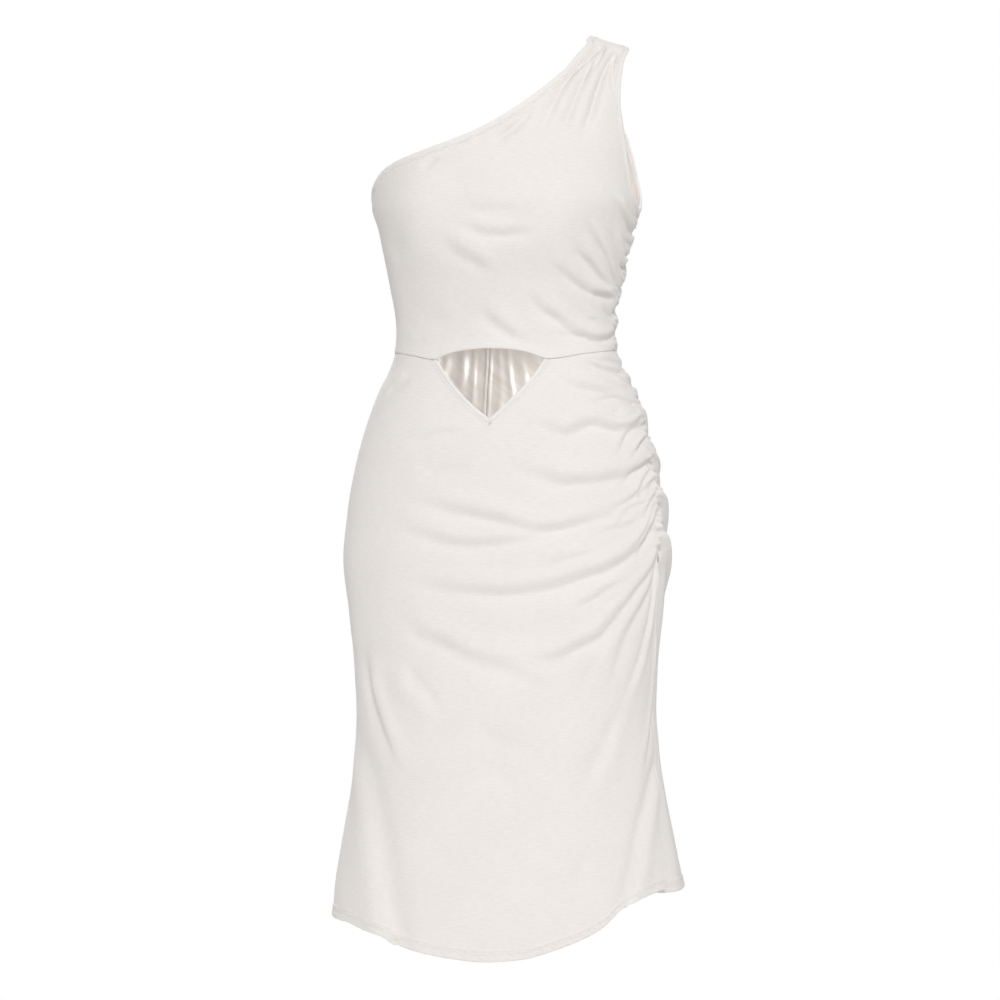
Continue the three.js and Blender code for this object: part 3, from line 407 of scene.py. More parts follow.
    ([(150, -800), (132, -750), (112, -676), (92, -600)], 4.7, 10, 0.5, 0),
    ([(132, -246), (116, -240), (96, -236)], 2.9, 5, 0.7, 1),
    ([(126, -296), (112, -292), (93, -299)], 2.6, 4, 0.8, 1),
    ([(136, -398), (118, -396), (92, -391)], 2.9, 5, 0.7, 1),
    ([(124, -436), (110, -426), (90, -411)], 2.6, 4, 0.8, 1),
    ([(128, -512), (108, -498), (86, -486)], 3.1, 5, 0.7, 1),
    ([(124, -568), (106, -546), (84, -529)], 3.1, 5, 0.7, 1),
    ([(116, -640), (100, -600), (80, -572)], 3.4, 5, 0.8, 1),
    # back, from the shoulder seam and the neck edge
    ([(140, -118), (134, -84), (127, -56), (118, -32)], 3.1, 5, 0.5, 0),
    ([(158, -128), (148, -92), (139, -60), (128, -34)], 3.1, 5, 0.5, 0),
    ([(178, -140), (166, -104), (154, -68)], 2.3, 6, 0.4, 0),
    ([(232, -192), (222, -168), (212, -142)], 1.6, 6, 0.3, 0),
]

# Flutes run from where they start down to the hem.
flutes = [
    ([(-78.4, -814), (-59.6, -840), (-51.7, -867), (-46.4, -895), (-42.3, -924), (-39, -953),
      (-35.7, -986), (-33, -1019), (-31.3, -1033)], 4.8, 18, 0.1, -1),
    ([(93.1, -826), (80.3, -849), (69.4, -877), (62.8, -899), (58.2, -917), (54.8, -936),
      (51.8, -957), (48.3, -979), (45.6, -996)], 4, 10, 0.1, 1),
    ([(232, -720), (226, -810), (220, -930), (214, -1066)], 8.0, 20, 0.2, 0),
    ([(166, -800), (162, -900), (158, -1066)], 6.0, 20, 0.2, 0),
    ([(118, -800), (122, -900), (126, -1050)], 5.0, 16, 0.2, 0),
]


# Slow unevenness between -1 and 1, the same each run. size is in millimetres.
def unevenness(x, z, size, turn):
    first = np.sin(x / size + turn + 1.3 * np.sin(0.7 * z / size + turn))
    second = np.sin(0.9 * z / size - 2 * turn + 1.1 * np.sin(0.6 * x / size + 3 * turn))
    return (first + second) / 2


# A crease's line as a smooth curve through its points.
def smoothLine(points, parts=5):
    points = np.array(points, float)
    padded = np.vstack([2 * points[0] - points[1], points, 2 * points[-1] - points[-2]])
    s = np.linspace(0, 1, parts, endpoint=False)[:, None]
    pieces = []
    for a, b, c, d in zip(padded, padded[1:], padded[2:], padded[3:]):
        pieces.append(0.5 * (2 * b + (c - a) * s + (2 * a - 5 * b + 4 * c - d) * s**2
                             + (3 * b - a - 3 * c + d) * s**3))
    return np.vstack(pieces + [points[-1:]])


# The height of one crease or flute at each point, where mm is the length of a degree of t there.
def creaseHeight(crease, t, z, mm, toHem):
    points, deep, wide, sharp, ridgeSide = crease
    line = smoothLine(points)
    reach = folds["reach"] * wide * (1 + folds["fan"])
    near = ((z > line[:, 1].min() - reach) & (z < line[:, 1].max() + reach)
            & ((t - line[:, 0].max()) * mm < reach) & ((line[:, 0].min() - t) * mm < reach))
    height = np.zeros_like(t)
    t, z, mm = t[near], z[near], mm[near]
    away = np.full_like(t, 1e9)
    side = np.zeros_like(t)
    run = np.zeros_like(t)
    middle = perDegree(line[:, 0], line[:, 1]).mean()
    lengths = np.hypot(np.diff(line[:, 0]) * middle, np.diff(line[:, 1]))
    past = 0.0
    for (t0, z0), (t1, z1), share in zip(line, line[1:], lengths / lengths.sum()):
        ux, uz = (t1 - t0) * mm, z1 - z0
        px, pz = (t - t0) * mm, z - z0
        along = np.clip((px * ux + pz * uz) / (ux * ux + uz * uz), 0, 1)
        gap = np.hypot(px - along * ux, pz - along * uz)
        closer = gap < away
        away = np.where(closer, gap, away)
        side = np.where(closer, np.sign(ux * pz - uz * px), side)
        run = np.where(closer, past + along * share, run)
        past += share
    if not toHem:
        wide = wide * (1 + folds["fan"] * (1 - run))
    across = away * side * (ridgeSide or 1) / wide
    valley = np.abs(across - folds["valleyAt"] * abs(ridgeSide)) / folds["valleyWidth"]
    soft = np.exp(-(valley**2))
    tent = np.sqrt(valley**2 + folds["tentRound"]) - folds["tentTip"]
    crisp = np.exp(-folds["tentFall"] * tent) * smoothStep(folds["tentEnd"] - valley, 0, 2)
    roll = np.exp(-(((across - folds["rollAt"]) / folds["rollWidth"]) ** 2)) * abs(ridgeSide)
    fade = smoothStep(run, 0, folds["fadeIn"])
    if not toHem:
        lastT, lastZ = line[-1]
        atSide = abs(lastT - sideSeamAt(lastZ)) < folds["seamReach"]
        atSeam = atSide or lastZ > folds["shoulderFoot"]
        left, start = (folds["atSeam"], folds["fadeOut"]) if atSeam else (0, 1 - folds["fadeIn"])
        fade = fade * (1 - (1 - left) * smoothStep(run, start, 1))
    height[near] = deep * fade * (folds["rollHeight"] * roll - soft - (crisp - soft) * sharp)
    return height


# The ruched seam is drawn in at each pinch and puffs out between two, with small puckers over it.
def gatherHeight(t, z, mm):
    height = np.zeros_like(t)
    away = (t - sideSeamAt(z)) * mm
    for pinches in (folds["pinchesBodice"], folds["pinchesSkirt"]):
        for top, foot in zip(pinches, pinches[1:]):
            inPuff = (z <= top) & (z > foot)
            rise = np.sin(math.pi * (top - z) / (top - foot)) - 0.5
            fall = np.exp(-((away / folds["puffWidth"]) ** 2))
            height += np.where(inPuff, folds["puff"] * rise * fall, 0)
    ruched = smoothStep(-z, *folds["ruchedFrom"]) * (1 - smoothStep(-z, *folds["ruchedTo"]))
    drift, driftOver = folds["puckerDrift"]
    wave = np.sin(z / folds["puckerPitch"] + drift * np.sin(z / driftOver) + away / folds["puckerSlant"])
    return height + folds["pucker"] * ruched * wave * np.exp(-np.abs(away) / folds["puckerWidth"])


# How far the cloth stands off the body, with all its folds.
def foldHeight(t, z):
    shape = t.shape
    t, z = np.ravel(t), np.ravel(z)
    mm = perDegree(t, z)
    x = t * mm
    height = gatherHeight(t, z, mm)
    for tMound, zMound, high, wide, tall in body["mounds"]:
        height += high * np.exp(-(((t - tMound) * mm / wide) ** 2) - ((z - zMound) / tall) ** 2)
    tStray = t + folds["wander"] * unevenness(x, z, *folds["wanderT"]) / mm
    zStray = z + folds["wander"] * unevenness(x, z, *folds["wanderZ"])
    for crease in creases:
        height += creaseHeight(crease, tStray, zStray, mm, False)
    for flute in flutes:
        height += creaseHeight(flute, t, z, mm, True)
    short = folds["shortShare"] * unevenness(x, z, *folds["shortWaves"])
    height += folds["uneven"] * (unevenness(x, z, *folds["slowWaves"]) + short)
    return height.reshape(shape)


# From the body's millimetres to the frame's metres.
def toFrame(points):
    return (points - np.array(body["heldAt"])) / 1000


# Distances in millimetres from the four edges of a grid of cloth: top, foot, first and last column.
def edgeDistances(t, z):
    places = bodyPoint(t, z)
    down = np.linalg.norm(np.diff(places, axis=0), axis=2)
    across = np.linalg.norm(np.diff(places, axis=1), axis=2)
    fromTop = np.vstack([0 * down[:1], np.cumsum(down, 0)])
    fromFirst = np.hstack([0 * across[:, :1], np.cumsum(across, 1)])
    return fromTop, fromTop[-1:] - fromTop, fromFirst, fromFirst[:, -1:] - fromFirst


# A round edge: how far the face drops toward the edge over the given radius.
def rounded(distance, radius, drop):
    s = np.clip(1 - distance / radius, 0, 1)
    return drop * (1 - np.sqrt(1 - s * s))


# A closed shell of cloth from a grid of (t, z): its outer face stands rise above the body.
def addSheet(name, t, z, rise, wall, material, node):
    base = bodyPoint(t, z)
    normal = outward(t, z)
    outer = toFrame(base + normal * rise[..., None])
    inner = toFrame(base + normal * (rise - wall)[..., None])
    rows, columns = t.shape
    count = rows * columns
    index = np.arange(count).reshape(rows, columns)
    face = np.stack([index[:-1, :-1], index[1:, :-1], index[1:, 1:], index[:-1, 1:]], -1).reshape(-1, 4)
    faces = [face, face[:, ::-1] + count]
    rims = [index[0], index[:, -1], index[-1, ::-1], index[::-1, 0]]
    for rim in rims:
        faces.append(np.stack([rim[:-1], rim[1:], rim[1:] + count, rim[:-1] + count], -1))
    faces = np.vstack(faces)
    mesh = bpy.data.meshes.new(name)
    points = np.vstack([outer.reshape(-1, 3), inner.reshape(-1, 3)])
    mesh.from_pydata(points.tolist(), [], faces.tolist())
    around = np.radians(t) * (halfAt(z) + frontAt(z)) / 2
    flat = np.stack([around.ravel(), z.ravel()], -1) / 1000
    flat = np.vstack([flat, flat])
    corners = np.empty(len(mesh.loops), np.int32)
    mesh.loops.foreach_get("vertex_index", corners)
    cloth = mesh.uv_layers.new(name="cloth")
    cloth.data.foreach_set("uv", flat[corners].astype(np.float32).ravel())
    mesh.materials.append(material)
    mesh.shade_smooth()
    piece = bpy.data.objects.new(name, mesh)
    bpy.context.scene.collection.objects.link(piece)
    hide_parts(*node)
    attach(piece, "root")
    return piece, outer


# An sRGB hex colour as linear values.
def linear(text):
    channels = [int(text[k:k + 2], 16) / 255 for k in (1, 3, 5)]
    return [c / 12.92 if c <= 0.04045 else ((c + 0.055) / 1.055) ** 2.4 for c in channels] + [1]


# Adds a node with its settings, the values of its inputs and the links into it.
def addNode(tree, kind, settings=None, inputs=None, links=None):
    node = tree.nodes.new(kind)
    for key, value in (settings or {}).items():
        setattr(node, key, value)
    for key, value in (inputs or {}).items():
        node.inputs[key].default_value = value
    for key, source in (links or {}).items():
        tree.links.new(source, node.inputs[key])
    return node


# A new material, its node tree and its shader.
def startMaterial(name):
    material = bpy.data.materials.new(name)
    material.use_nodes = True
    tree = material.node_tree
    return material, tree, tree.nodes["Principled BSDF"]


print("materials: brushed jersey, satin lining, sewing thread")
jerseyLook = {
    "colour": "#E7E3E0",
    "shade": "#DED9D5",
    "foldedColour": "#E9E6E3",  # the bindings are of two layers and look a little lighter
    "foldedShade": "#E0DBD7",
    # sizes in metres
    "slubLong": 0.0075,
    "slubThick": 0.0013,
    "nap": 0.0016,
    "cloud": 0.06,  # broad patches of a slightly deeper tone
    "cloudShare": 0.4,
    "shadeFrom": 0.4,  # the pattern's value at which the shade begins
    "napShare": 0.6,
    "bump": 0.45,
    "bumpDepth": 0.00035,
    "roughness": 0.9,
    "specular": 0.25,
    "sheen": 0.12,
    "sheenRoughness": 0.6,
}


# Matte cotton-rich jersey: thick yarns lie across it as short slubs, and a soft nap takes the shine off.
def makeJersey(name, colour, shade):
    material, tree, shader = startMaterial(name)
    place = addNode(tree, "ShaderNodeUVMap", {"uv_map": "cloth"})
    slubSpace = addNode(
        tree, "ShaderNodeMapping",
        inputs={"Scale": (1 / jerseyLook["slubLong"], 1 / jerseyLook["slubThick"], 1)},
        links={"Vector": place.outputs["UV"]})
    slub = addNode(
        tree, "ShaderNodeTexNoise", inputs={"Scale": 1, "Detail": 2, "Roughness": 0.55},
        links={"Vector": slubSpace.outputs["Vector"]})
    nap = addNode(
        tree, "ShaderNodeTexNoise", inputs={"Scale": 1 / jerseyLook["nap"], "Detail": 1},
        links={"Vector": place.outputs["UV"]})
    clouds = addNode(
        tree, "ShaderNodeTexNoise",
        inputs={"Scale": 1 / jerseyLook["cloud"], "Detail": 3, "Roughness": 0.6},
        links={"Vector": place.outputs["UV"]})
    blend = addNode(
        tree, "ShaderNodeMath", {"operation": "MULTIPLY_ADD"}, inputs={1: jerseyLook["cloudShare"]},
        links={0: clouds.outputs["Fac"], 2: slub.outputs["Fac"]})
    spread = addNode(
        tree, "ShaderNodeMapRange", inputs={"From Min": jerseyLook["shadeFrom"], "From Max": 1.0},
        links={"Value": blend.outputs["Value"]})
    tint = addNode(
        tree, "ShaderNodeMix", {"data_type": "RGBA"}, inputs={"A": linear(colour), "B": linear(shade)},
        links={"Factor": spread.outputs["Result"]})
    tree.links.new(tint.outputs["Result"], shader.inputs["Base Color"])
    texture = addNode(
        tree, "ShaderNodeMath", {"operation": "MULTIPLY_ADD"}, inputs={1: jerseyLook["napShare"]},
        links={0: nap.outputs["Fac"], 2: slub.outputs["Fac"]})
    bump = addNode(
        tree, "ShaderNodeBump",
        inputs={"Strength": jerseyLook["bump"], "Distance": jerseyLook["bumpDepth"]},
        links={"Height": texture.outputs["Value"]})
    tree.links.new(bump.outputs["Normal"], shader.inputs["Normal"])
    shader.inputs["Roughness"].default_value = jerseyLook["roughness"]
    shader.inputs["Specular IOR Level"].default_value = jerseyLook["specular"]
    shader.inputs["Sheen Weight"].default_value = jerseyLook["sheen"]
    shader.inputs["Sheen Roughness"].default_value = jerseyLook["sheenRoughness"]
    return material


satinLookWithPaintedStreaks = {
    # colour and shade are the light and dark streaks painted into the satin's colour: a painted reflection
    # and painted shade
    "colour": "#EBEAEA",
    "shade": "#C4BDB5",
    "streakWide": 0.008,  # in metres
    "streakLong": 0.045,
    "bump": 0.4,
    "bumpDepth": 0.001,
    "roughness": 0.3,
    "specular": 0.9,
}


# Polyester satin: long floats of filament yarn, so its gloss gives bright streaks along its folds. Its
# colour also mixes light and dark streaks by stretched noise: a painted reflection and painted shade.
def makeSatin():
    material, tree, shader = startMaterial("polyesterSatin")
    place = addNode(tree, "ShaderNodeUVMap", {"uv_map": "cloth"})
    space = addNode(
        tree, "ShaderNodeMapping",
        inputs={"Scale": (1 / satinLookWithPaintedStreaks["streakWide"], 1 / satinLookWithPaintedStreaks["streakLong"], 1)},
        links={"Vector": place.outputs["UV"]})
    streak = addNode(
        tree, "ShaderNodeTexNoise", inputs={"Scale": 1, "Detail": 3, "Roughness": 0.5},
        links={"Vector": space.outputs["Vector"]})
    # painted reflection and painted shade: the stretched noise mixes light and dark streaks into the base
    # colour
    tint = addNode(
        tree, "ShaderNodeMix", {"data_type": "RGBA"},
        inputs={"A": linear(satinLookWithPaintedStreaks["colour"]), "B": linear(satinLookWithPaintedStreaks["shade"])},
        links={"Factor": streak.outputs["Fac"]})
    tree.links.new(tint.outputs["Result"], shader.inputs["Base Color"])
    bump = addNode(
        tree, "ShaderNodeBump",
        inputs={"Strength": satinLookWithPaintedStreaks["bump"], "Distance": satinLookWithPaintedStreaks["bumpDepth"]},
        links={"Height": streak.outputs["Fac"]})
    tree.links.new(bump.outputs["Normal"], shader.inputs["Normal"])
    shader.inputs["Roughness"].default_value = satinLookWithPaintedStreaks["roughness"]
    shader.inputs["Specular IOR Level"].default_value = satinLookWithPaintedStreaks["specular"]
    return material


threadLook = {"colour": "#F2EFEB", "shade": "#DDD8D2", "twist": 0.0008, "roughness": 0.6}


# Spun polyester thread, a little glossier than the jersey.
def makeThread():
    material, tree, shader = startMaterial("polyesterThread")
    place = addNode(tree, "ShaderNodeTexCoord")
    twist = addNode(
        tree, "ShaderNodeTexNoise", inputs={"Scale": 1 / threadLook["twist"], "Detail": 1},
        links={"Vector": place.outputs["Object"]})
    tint = addNode(
        tree, "ShaderNodeMix", {"data_type": "RGBA"},
        inputs={"A": linear(threadLook["colour"]), "B": linear(threadLook["shade"])},
        links={"Factor": twist.outputs["Fac"]})
    tree.links.new(tint.outputs["Result"], shader.inputs["Base Color"])
    shader.inputs["Roughness"].default_value = threadLook["roughness"]
    return material


jersey = makeJersey("brushedJersey", jerseyLook["colour"], jerseyLook["shade"])
foldedJersey = makeJersey("foldedJersey", jerseyLook["foldedColour"], jerseyLook["foldedShade"])
satin = makeSatin()
thread = makeThread()


# Positions from 0 to 1 along a length in millimetres: close together at both ends, then even.
def spacing(length, count, startSteps, endSteps):
    start = np.cumsum([0] + startSteps) / length
    end = 1 - np.cumsum([0] + endSteps)[::-1] / length
    middle = np.linspace(start[-1], end[0], count)
    return np.concatenate([start[:-1], middle, end[1:]])


def mix(a, b, share):
    return a + (b - a) * share


halves = {
    "front": {"sign": -1, "sideT": -90.0, "neck": edgeLine(edges["neckFront"]),
              "arm": edgeLine(edges["armFront"]), "hem": hemFrontAt, "slit": slitFrontAt},
    "back": {"sign": 1, "sideT": 270.0, "neck": edgeLine(edges["neckBack"]),
             "arm": edgeLine(edges["armBack"]), "hem": hemBackAt, "slit": slitBackAt},
}


# An inset line of the bodice that ends on the shoulder seam and on a side seam.
def bodiceInset(half, edge, u, wide, footSpread):
    side, endT = (-half["sign"], half["sideT"]) if edge == "neck" else (half["sign"], 90.0)
    if wide == 0:
        return half[edge](u)
    t, z = insetLine(half[edge], u, wide, side)
    foot = half[edge](np.array([1.0]))[1][0] - wide * footSpread
    t[0] = 90
    t[-1], z[-1] = endT, foot
    return t, z


print("bodice: front and back")
bodice = {
    "upperRows": 105,
    "lowerRows": 104,
    "columns": 136,
    # lengths in millimetres that the rows and columns are spaced over, and their steps at an edge
    "upperLength": 330,
    "lowerLength": 155,
    "width": 270,
    "edgeSteps": [0.5, 0.7, 1.0, 1.5],
    "waistSteps": [0.4, 0.6, 0.8, 1.2, 1.6],
    "waistFrom": 0.68,  # share of the lower rows' length past which they bend to the waist's line
    "thinned": 0.6,  # share of a dip that the wall loses too
    "seamRadius": 1.6,  # the cloth rolls down into its seams
    "seamDrop": 0.7,
    "ruchedDrop": 1.5,
    "edgeRadius": 2.6,  # its lower edge is turned in and lies over the skirt
    "edgeDrop": 1.0,
    "edgeLift": 1.0,
    "flare": 1.5,  # how far the lower edge stands out over the cut-out
    "flareHeight": 15,
    "flareWidth": 34,  # in degrees of t
    "armFootSpread": 1.25,
}


def bodiceGrid(half):
    u = spacing(bodice["upperLength"], bodice["upperRows"], bodice["edgeSteps"], [1.5])
    under = body["underBinding"]
    neck = bodiceInset(half, "neck", u, body["neckBand"] - under, 1.0)
    arm = bodiceInset(half, "arm", u, body["armBand"] - under, bodice["armFootSpread"])
    fall = spacing(bodice["lowerLength"], bodice["lowerRows"], [2.0], bodice["waistSteps"])[1:]
    seamZ = mix(arm[1][-1], waistAt(90), fall)
    plainZ = mix(neck[1][-1], waistAt(half["sideT"]), fall)
    seamT, plainT = sideSeamAt(seamZ), np.full_like(fall, half["sideT"])
    plain = np.concatenate([neck[0], plainT]), np.concatenate([neck[1], plainZ])
    ruched = np.concatenate([arm[0], seamT]), np.concatenate([arm[1], seamZ])
    share = spacing(bodice["width"], bodice["columns"], bodice["edgeSteps"], bodice["edgeSteps"])[None, :]
    first, last = (plain, ruched) if half["sign"] < 0 else (ruched, plain)
    t = mix(first[0][:, None], last[0][:, None], share)
    z = mix(first[1][:, None], last[1][:, None], share)
    bend = np.clip((fall - bodice["waistFrom"]) / (1 - bodice["waistFrom"]), 0, 1)
    lead = np.concatenate([np.zeros(len(u)), bend])[:, None]
    z = z + lead * (waistAt(t[-1:]) - z[-1:])
    return t, z


def makeBodice(name):
    half = halves[name]
    t, z = bodiceGrid(half)
    fromTop, fromFoot, fromFirst, fromLast = edgeDistances(t, z)
    upper = np.arange(len(t))[:, None] < len(t) - bodice["lowerRows"]
    toPlain, toRuched = (fromFirst, fromLast) if name == "front" else (fromLast, fromFirst)
    radius, drop = bodice["seamRadius"], bodice["seamDrop"]
    ruchedDrop = np.where(upper, drop, bodice["ruchedDrop"])
    dip = np.maximum(rounded(toPlain, radius, drop), rounded(toRuched, radius, ruchedDrop))
    dip = np.maximum(dip, rounded(fromFoot, bodice["edgeRadius"], bodice["edgeDrop"]))
    dip = np.maximum(dip, rounded(fromTop, radius, drop) * upper)
    edgeShare = 1 - smoothStep(fromFoot, 0, bodice["flareHeight"])
    overGap = np.exp(-((t / bodice["flareWidth"]) ** 4)) if name == "front" else 0
    rise = foldHeight(t, z) - dip + edgeShare * (bodice["edgeLift"] + bodice["flare"] * overGap)
    wall = np.full_like(t, body["jersey"]) - dip * bodice["thinned"]
    title = f"bodice{name.capitalize()}"
    return addSheet(title, t, z, rise, wall, jersey, [f"bodice_{name}"])[0]


bodiceFront = makeBodice("front")
bodiceBack = makeBodice("back")

print("skirt: front and back")
skirt = {
    "gatherRows": 198,
    "gatherShare": 0.54,  # these rows lie close over this share of the length, where the folds are fine
    "lowRows": 46,
    "columnsPlain": 38,
    "columnsVee": 30,
    "columnsRuched": 82,
    "columnsBack": 126,
    # lengths in millimetres that the rows and columns are spaced over, and their steps at an edge
    "length": 655,
    "plainWidth": 230,
    "ruchedWidth": 150,
    "backWidth": 540,
    "topSteps": [0.5, 0.7, 1.0],
    "hemSteps": [0.5] + [1.0] * 16,
    "plainSteps": [0.6, 1.0, 1.6],
    "ruchedSteps": [0.3, 0.4, 0.4, 0.5, 0.6, 0.8, 1.0],
    "backSteps": [0.6, 0.8, 0.8, 1.0, 1.2, 1.6],
    "fanDepth": -720,  # where the gathered rows come level on the plain side
    "fanShare": 0.6,
    "fanBend": 1.6,
    "levelDepth": -505,  # the rows below the cut-out are level again from here down
    "hemTop": (13, 15.5),  # the turned-up hem ends between these heights over the edge
    "hemProud": 1.1,
    "hemRound": (1.3, 0.9),  # radius and drop of the fold at the edge
    "rope": 0.4,  # the turned hem twists a little, in slanting ripples
    "ropeSlant": 1.2,
    "ropePitch": 1.7,
    "ropeDrift": (1.5, 23),
    "ropeFoot": (0, 2),  # heights over which the ripples begin and end
    "ropeTop": (7, 10),
    "hemStitches": (8.2, 11.4),
    "stitchGroove": 0.65,
    "stitchWidth": 0.8,
    "slitBlend": 6,  # the seam opens into the slit over this height, up and down
    "slitRound": (1.2, 0.8),
    "slitFold": 3.4,
    "slitGroove": 0.5,
    "slitGrooveWidth": 0.7,
    "slitProud": 0.4,
    "slitTurned": (2.6, 4.4),  # the folded edge of the slit ends between these distances
    "underSlit": (1.5, 15),  # degrees over which the back panel comes out again past the slit
}
veeSides = {
    "Right": {"edge": edgeLine(edges["veeRight"]), "corner": edges["veeRight"][0], "sign": -1},
    "Left": {"edge": edgeLine(edges["veeLeft"]), "corner": edges["veeLeft"][-1], "sign": 1},
}
cornerSpread, footSpread = 1.16, 1.25  # the cut-out's binding ends at a slant and in a mitre


# One side of the cut-out's V from left to right, wide millimetres inside its edge.
def veeLine(name, wide, count):
    side = veeSides[name]
    t, z = insetLine(side["edge"], np.linspace(0, 1, count), wide, -1)
    cornerT, cornerZ = side["corner"]
    top, foot = (0, -1) if name == "Right" else (-1, 0)
    t[top] = cornerT + side["sign"] * wide * cornerSpread / perDegree(cornerT, cornerZ)
    z[top] = waistAt(t[top])
    t[foot], z[foot] = edges["veeLeft"][0]
    z[foot] -= wide * footSpread
    return t, z


def skirtGrid(name):
    half = halves[name]
    isFront = name == "front"
    slitTop = upright["slitFront"][0][0]
    cornerZ = half["hem"](sideSeamAt(slitTop))
    for attempt in range(6):
        cornerZ = half["hem"](half["slit"](cornerZ))
    seamTop = folds["pinchesSkirt"][0]
    down = spacing(skirt["length"], skirt["lowRows"] + 2, skirt["topSteps"], skirt["hemSteps"])
    topCount, hemCount = len(skirt["topSteps"]), len(skirt["hemSteps"])
    gathered = np.linspace(down[topCount], skirt["gatherShare"], skirt["gatherRows"])
    low = np.linspace(skirt["gatherShare"], down[-hemCount - 1], skirt["lowRows"])
    down = np.concatenate([down[:topCount], gathered, low[1:], down[-hemCount:]])
    endZ = mix(seamTop, cornerZ, down)
    endT = np.where(endZ >= slitTop, sideSeamAt(endZ), half["slit"](endZ))
    plainT = half["sideT"]
    plainTop, plainFoot = waistAt(plainT), half["hem"](plainT)
    if isFront:
        wide = body["cutoutBand"] - body["underBinding"]
        right, left = (veeLine(side, wide, skirt["columnsVee"]) for side in ("Right", "Left"))
        plainShare = spacing(skirt["plainWidth"], skirt["columnsPlain"], skirt["plainSteps"], [])[:-1]
        before = plainT + (right[0][0] - plainT) * plainShare
        ruchedShare = spacing(skirt["ruchedWidth"], skirt["columnsRuched"], [], skirt["ruchedSteps"])[1:]
        after = left[0][-1] + (endT[0] - left[0][-1]) * ruchedShare
        topT = np.concatenate([before, right[0], left[0][1:], after])
        topZ = np.concatenate([waistAt(before), right[1], left[1][1:], waistAt(after)])
        share = (topT - plainT) / (endT[0] - plainT)
    else:
        share = 1 - spacing(
            skirt["backWidth"], skirt["columnsBack"], skirt["backSteps"], skirt["plainSteps"])
        topT = plainT + (endT[0] - plainT) * share
        topZ = waistAt(topT)
    share, topT, topZ = share[None, :], topT[None, :], topZ[None, :]
    # on the plain side the fan of rows ends at the fan's depth
    fanShare = skirt["fanShare"]
    fan = (plainTop - skirt["fanDepth"]) / (plainTop - plainFoot)
    past = fan + (down - fanShare) * (1 - fan) / (1 - fanShare)
    plainDown = np.where(down < fanShare, down * fan / fanShare, past)
    t = plainT + (endT[:, None] - plainT) * share
    fall = mix(plainDown[:, None], down[:, None], share ** skirt["fanBend"])
    foot = half["hem"](t)
    level = skirt["levelDepth"]
    plainZ = waistAt(topT)
    z = plainZ + (foot - plainZ) * fall
    z = np.where(z > level, topZ + (z - plainZ) * (level - topZ) / (level - plainZ), z)
    ruchedColumn = -1 if isFront else 0
    z[:, ruchedColumn] = endZ
    return t, z


def makeSkirt(name):
    half = halves[name]
    t, z = skirtGrid(name)
    fromTop, fromFoot, fromFirst, fromLast = edgeDistances(t, z)
    fromPlain, fromRuched = (fromFirst, fromLast) if name == "front" else (fromLast, fromFirst)
    slitTop = upright["slitFront"][0][0]
    overSlit = smoothStep(-z, -slitTop - skirt["slitBlend"], -slitTop + skirt["slitBlend"])
    radius, drop = bodice["seamRadius"], bodice["seamDrop"]
    dip = rounded(fromPlain, radius, drop)
    dip = np.maximum(dip, rounded(fromRuched, radius, bodice["ruchedDrop"]) * (1 - overSlit))
    dip = np.maximum(dip, rounded(fromTop, radius, drop))
    # the turned-up hem stands a little proud, with two rows of stitches pulled into it
    hem = 1 - smoothStep(fromFoot, *skirt["hemTop"])
    relief = skirt["hemProud"] * hem
    for line in skirt["hemStitches"]:
        fromLine = (fromFoot - line) / skirt["stitchWidth"]
        relief = relief - skirt["stitchGroove"] * np.exp(-(fromLine**2))
    drift, driftOver = skirt["ropeDrift"]
    slant = (fromFirst + skirt["ropeSlant"] * fromFoot) / skirt["ropePitch"]
    rope = np.sin(slant + drift * np.sin(fromFirst / driftOver))
    ropeShare = (1 - smoothStep(fromFoot, *skirt["ropeTop"])) * smoothStep(fromFoot, *skirt["ropeFoot"])
    hemEdge = rounded(fromFoot, *skirt["hemRound"])
    relief = relief + skirt["rope"] * rope * ropeShare - hemEdge
    # the slit's folded edge does the same, with one row
    slitEdge = rounded(fromRuched, *skirt["slitRound"])
    fromLine = (fromRuched - skirt["slitFold"]) / skirt["slitGrooveWidth"]
    turned = skirt["slitProud"] * (1 - smoothStep(fromRuched, *skirt["slitTurned"]))
    relief = relief + overSlit * (turned - slitEdge - skirt["slitGroove"] * np.exp(-(fromLine**2)))
    rise = foldHeight(t, z) + relief - dip
    if name == "back":
        under = 1 - smoothStep(t - slitFrontAt(z), *skirt["underSlit"])
        rise = rise + np.where(z > upright["slitLift"][0][0], 0, slitLiftAt(z) * under)
    wall = mix(body["jersey"], body["turned"], hem) - bodice["thinned"] * dip
    wall = wall - hemEdge - overSlit * slitEdge
    return addSheet(f"skirt{name.capitalize()}", t, z, rise, wall, jersey, [f"skirt_{name}"])


skirtFront, skirtFrontFace = makeSkirt("front")
skirtBack, skirtBackFace = makeSkirt("back")

print("bindings: neck, armhole and cut-out")
bindings = {
    "proud": 0.7,
    "thick": 2.6,
    "across": 18,  # columns and rows of a strip
    "along": 190,
    "cutoutAlong": 60,
    "width": 8,
    "edgeSteps": [0.25, 0.35, 0.5],
    # radius and drop of the fold at the raw edge's side, of the sewn side and of the strip's ends
    "foldRound": (1.4, 1.1),
    "sewnRound": (1.0, 0.6),
    "endRound": (1.2, 0.5),
    "foldThin": 0.9,  # its inner face rises by this share of the fold's drop
    "seamLine": 2.2,  # from the sewn side to the row of stitches
    "groove": 1.0,  # how far the stitches pull the strip in
    "grooveWidth": 0.8,
    "sewnUpTo": 0.002,  # height in the frame, in metres, where the rows end at the shoulder
}


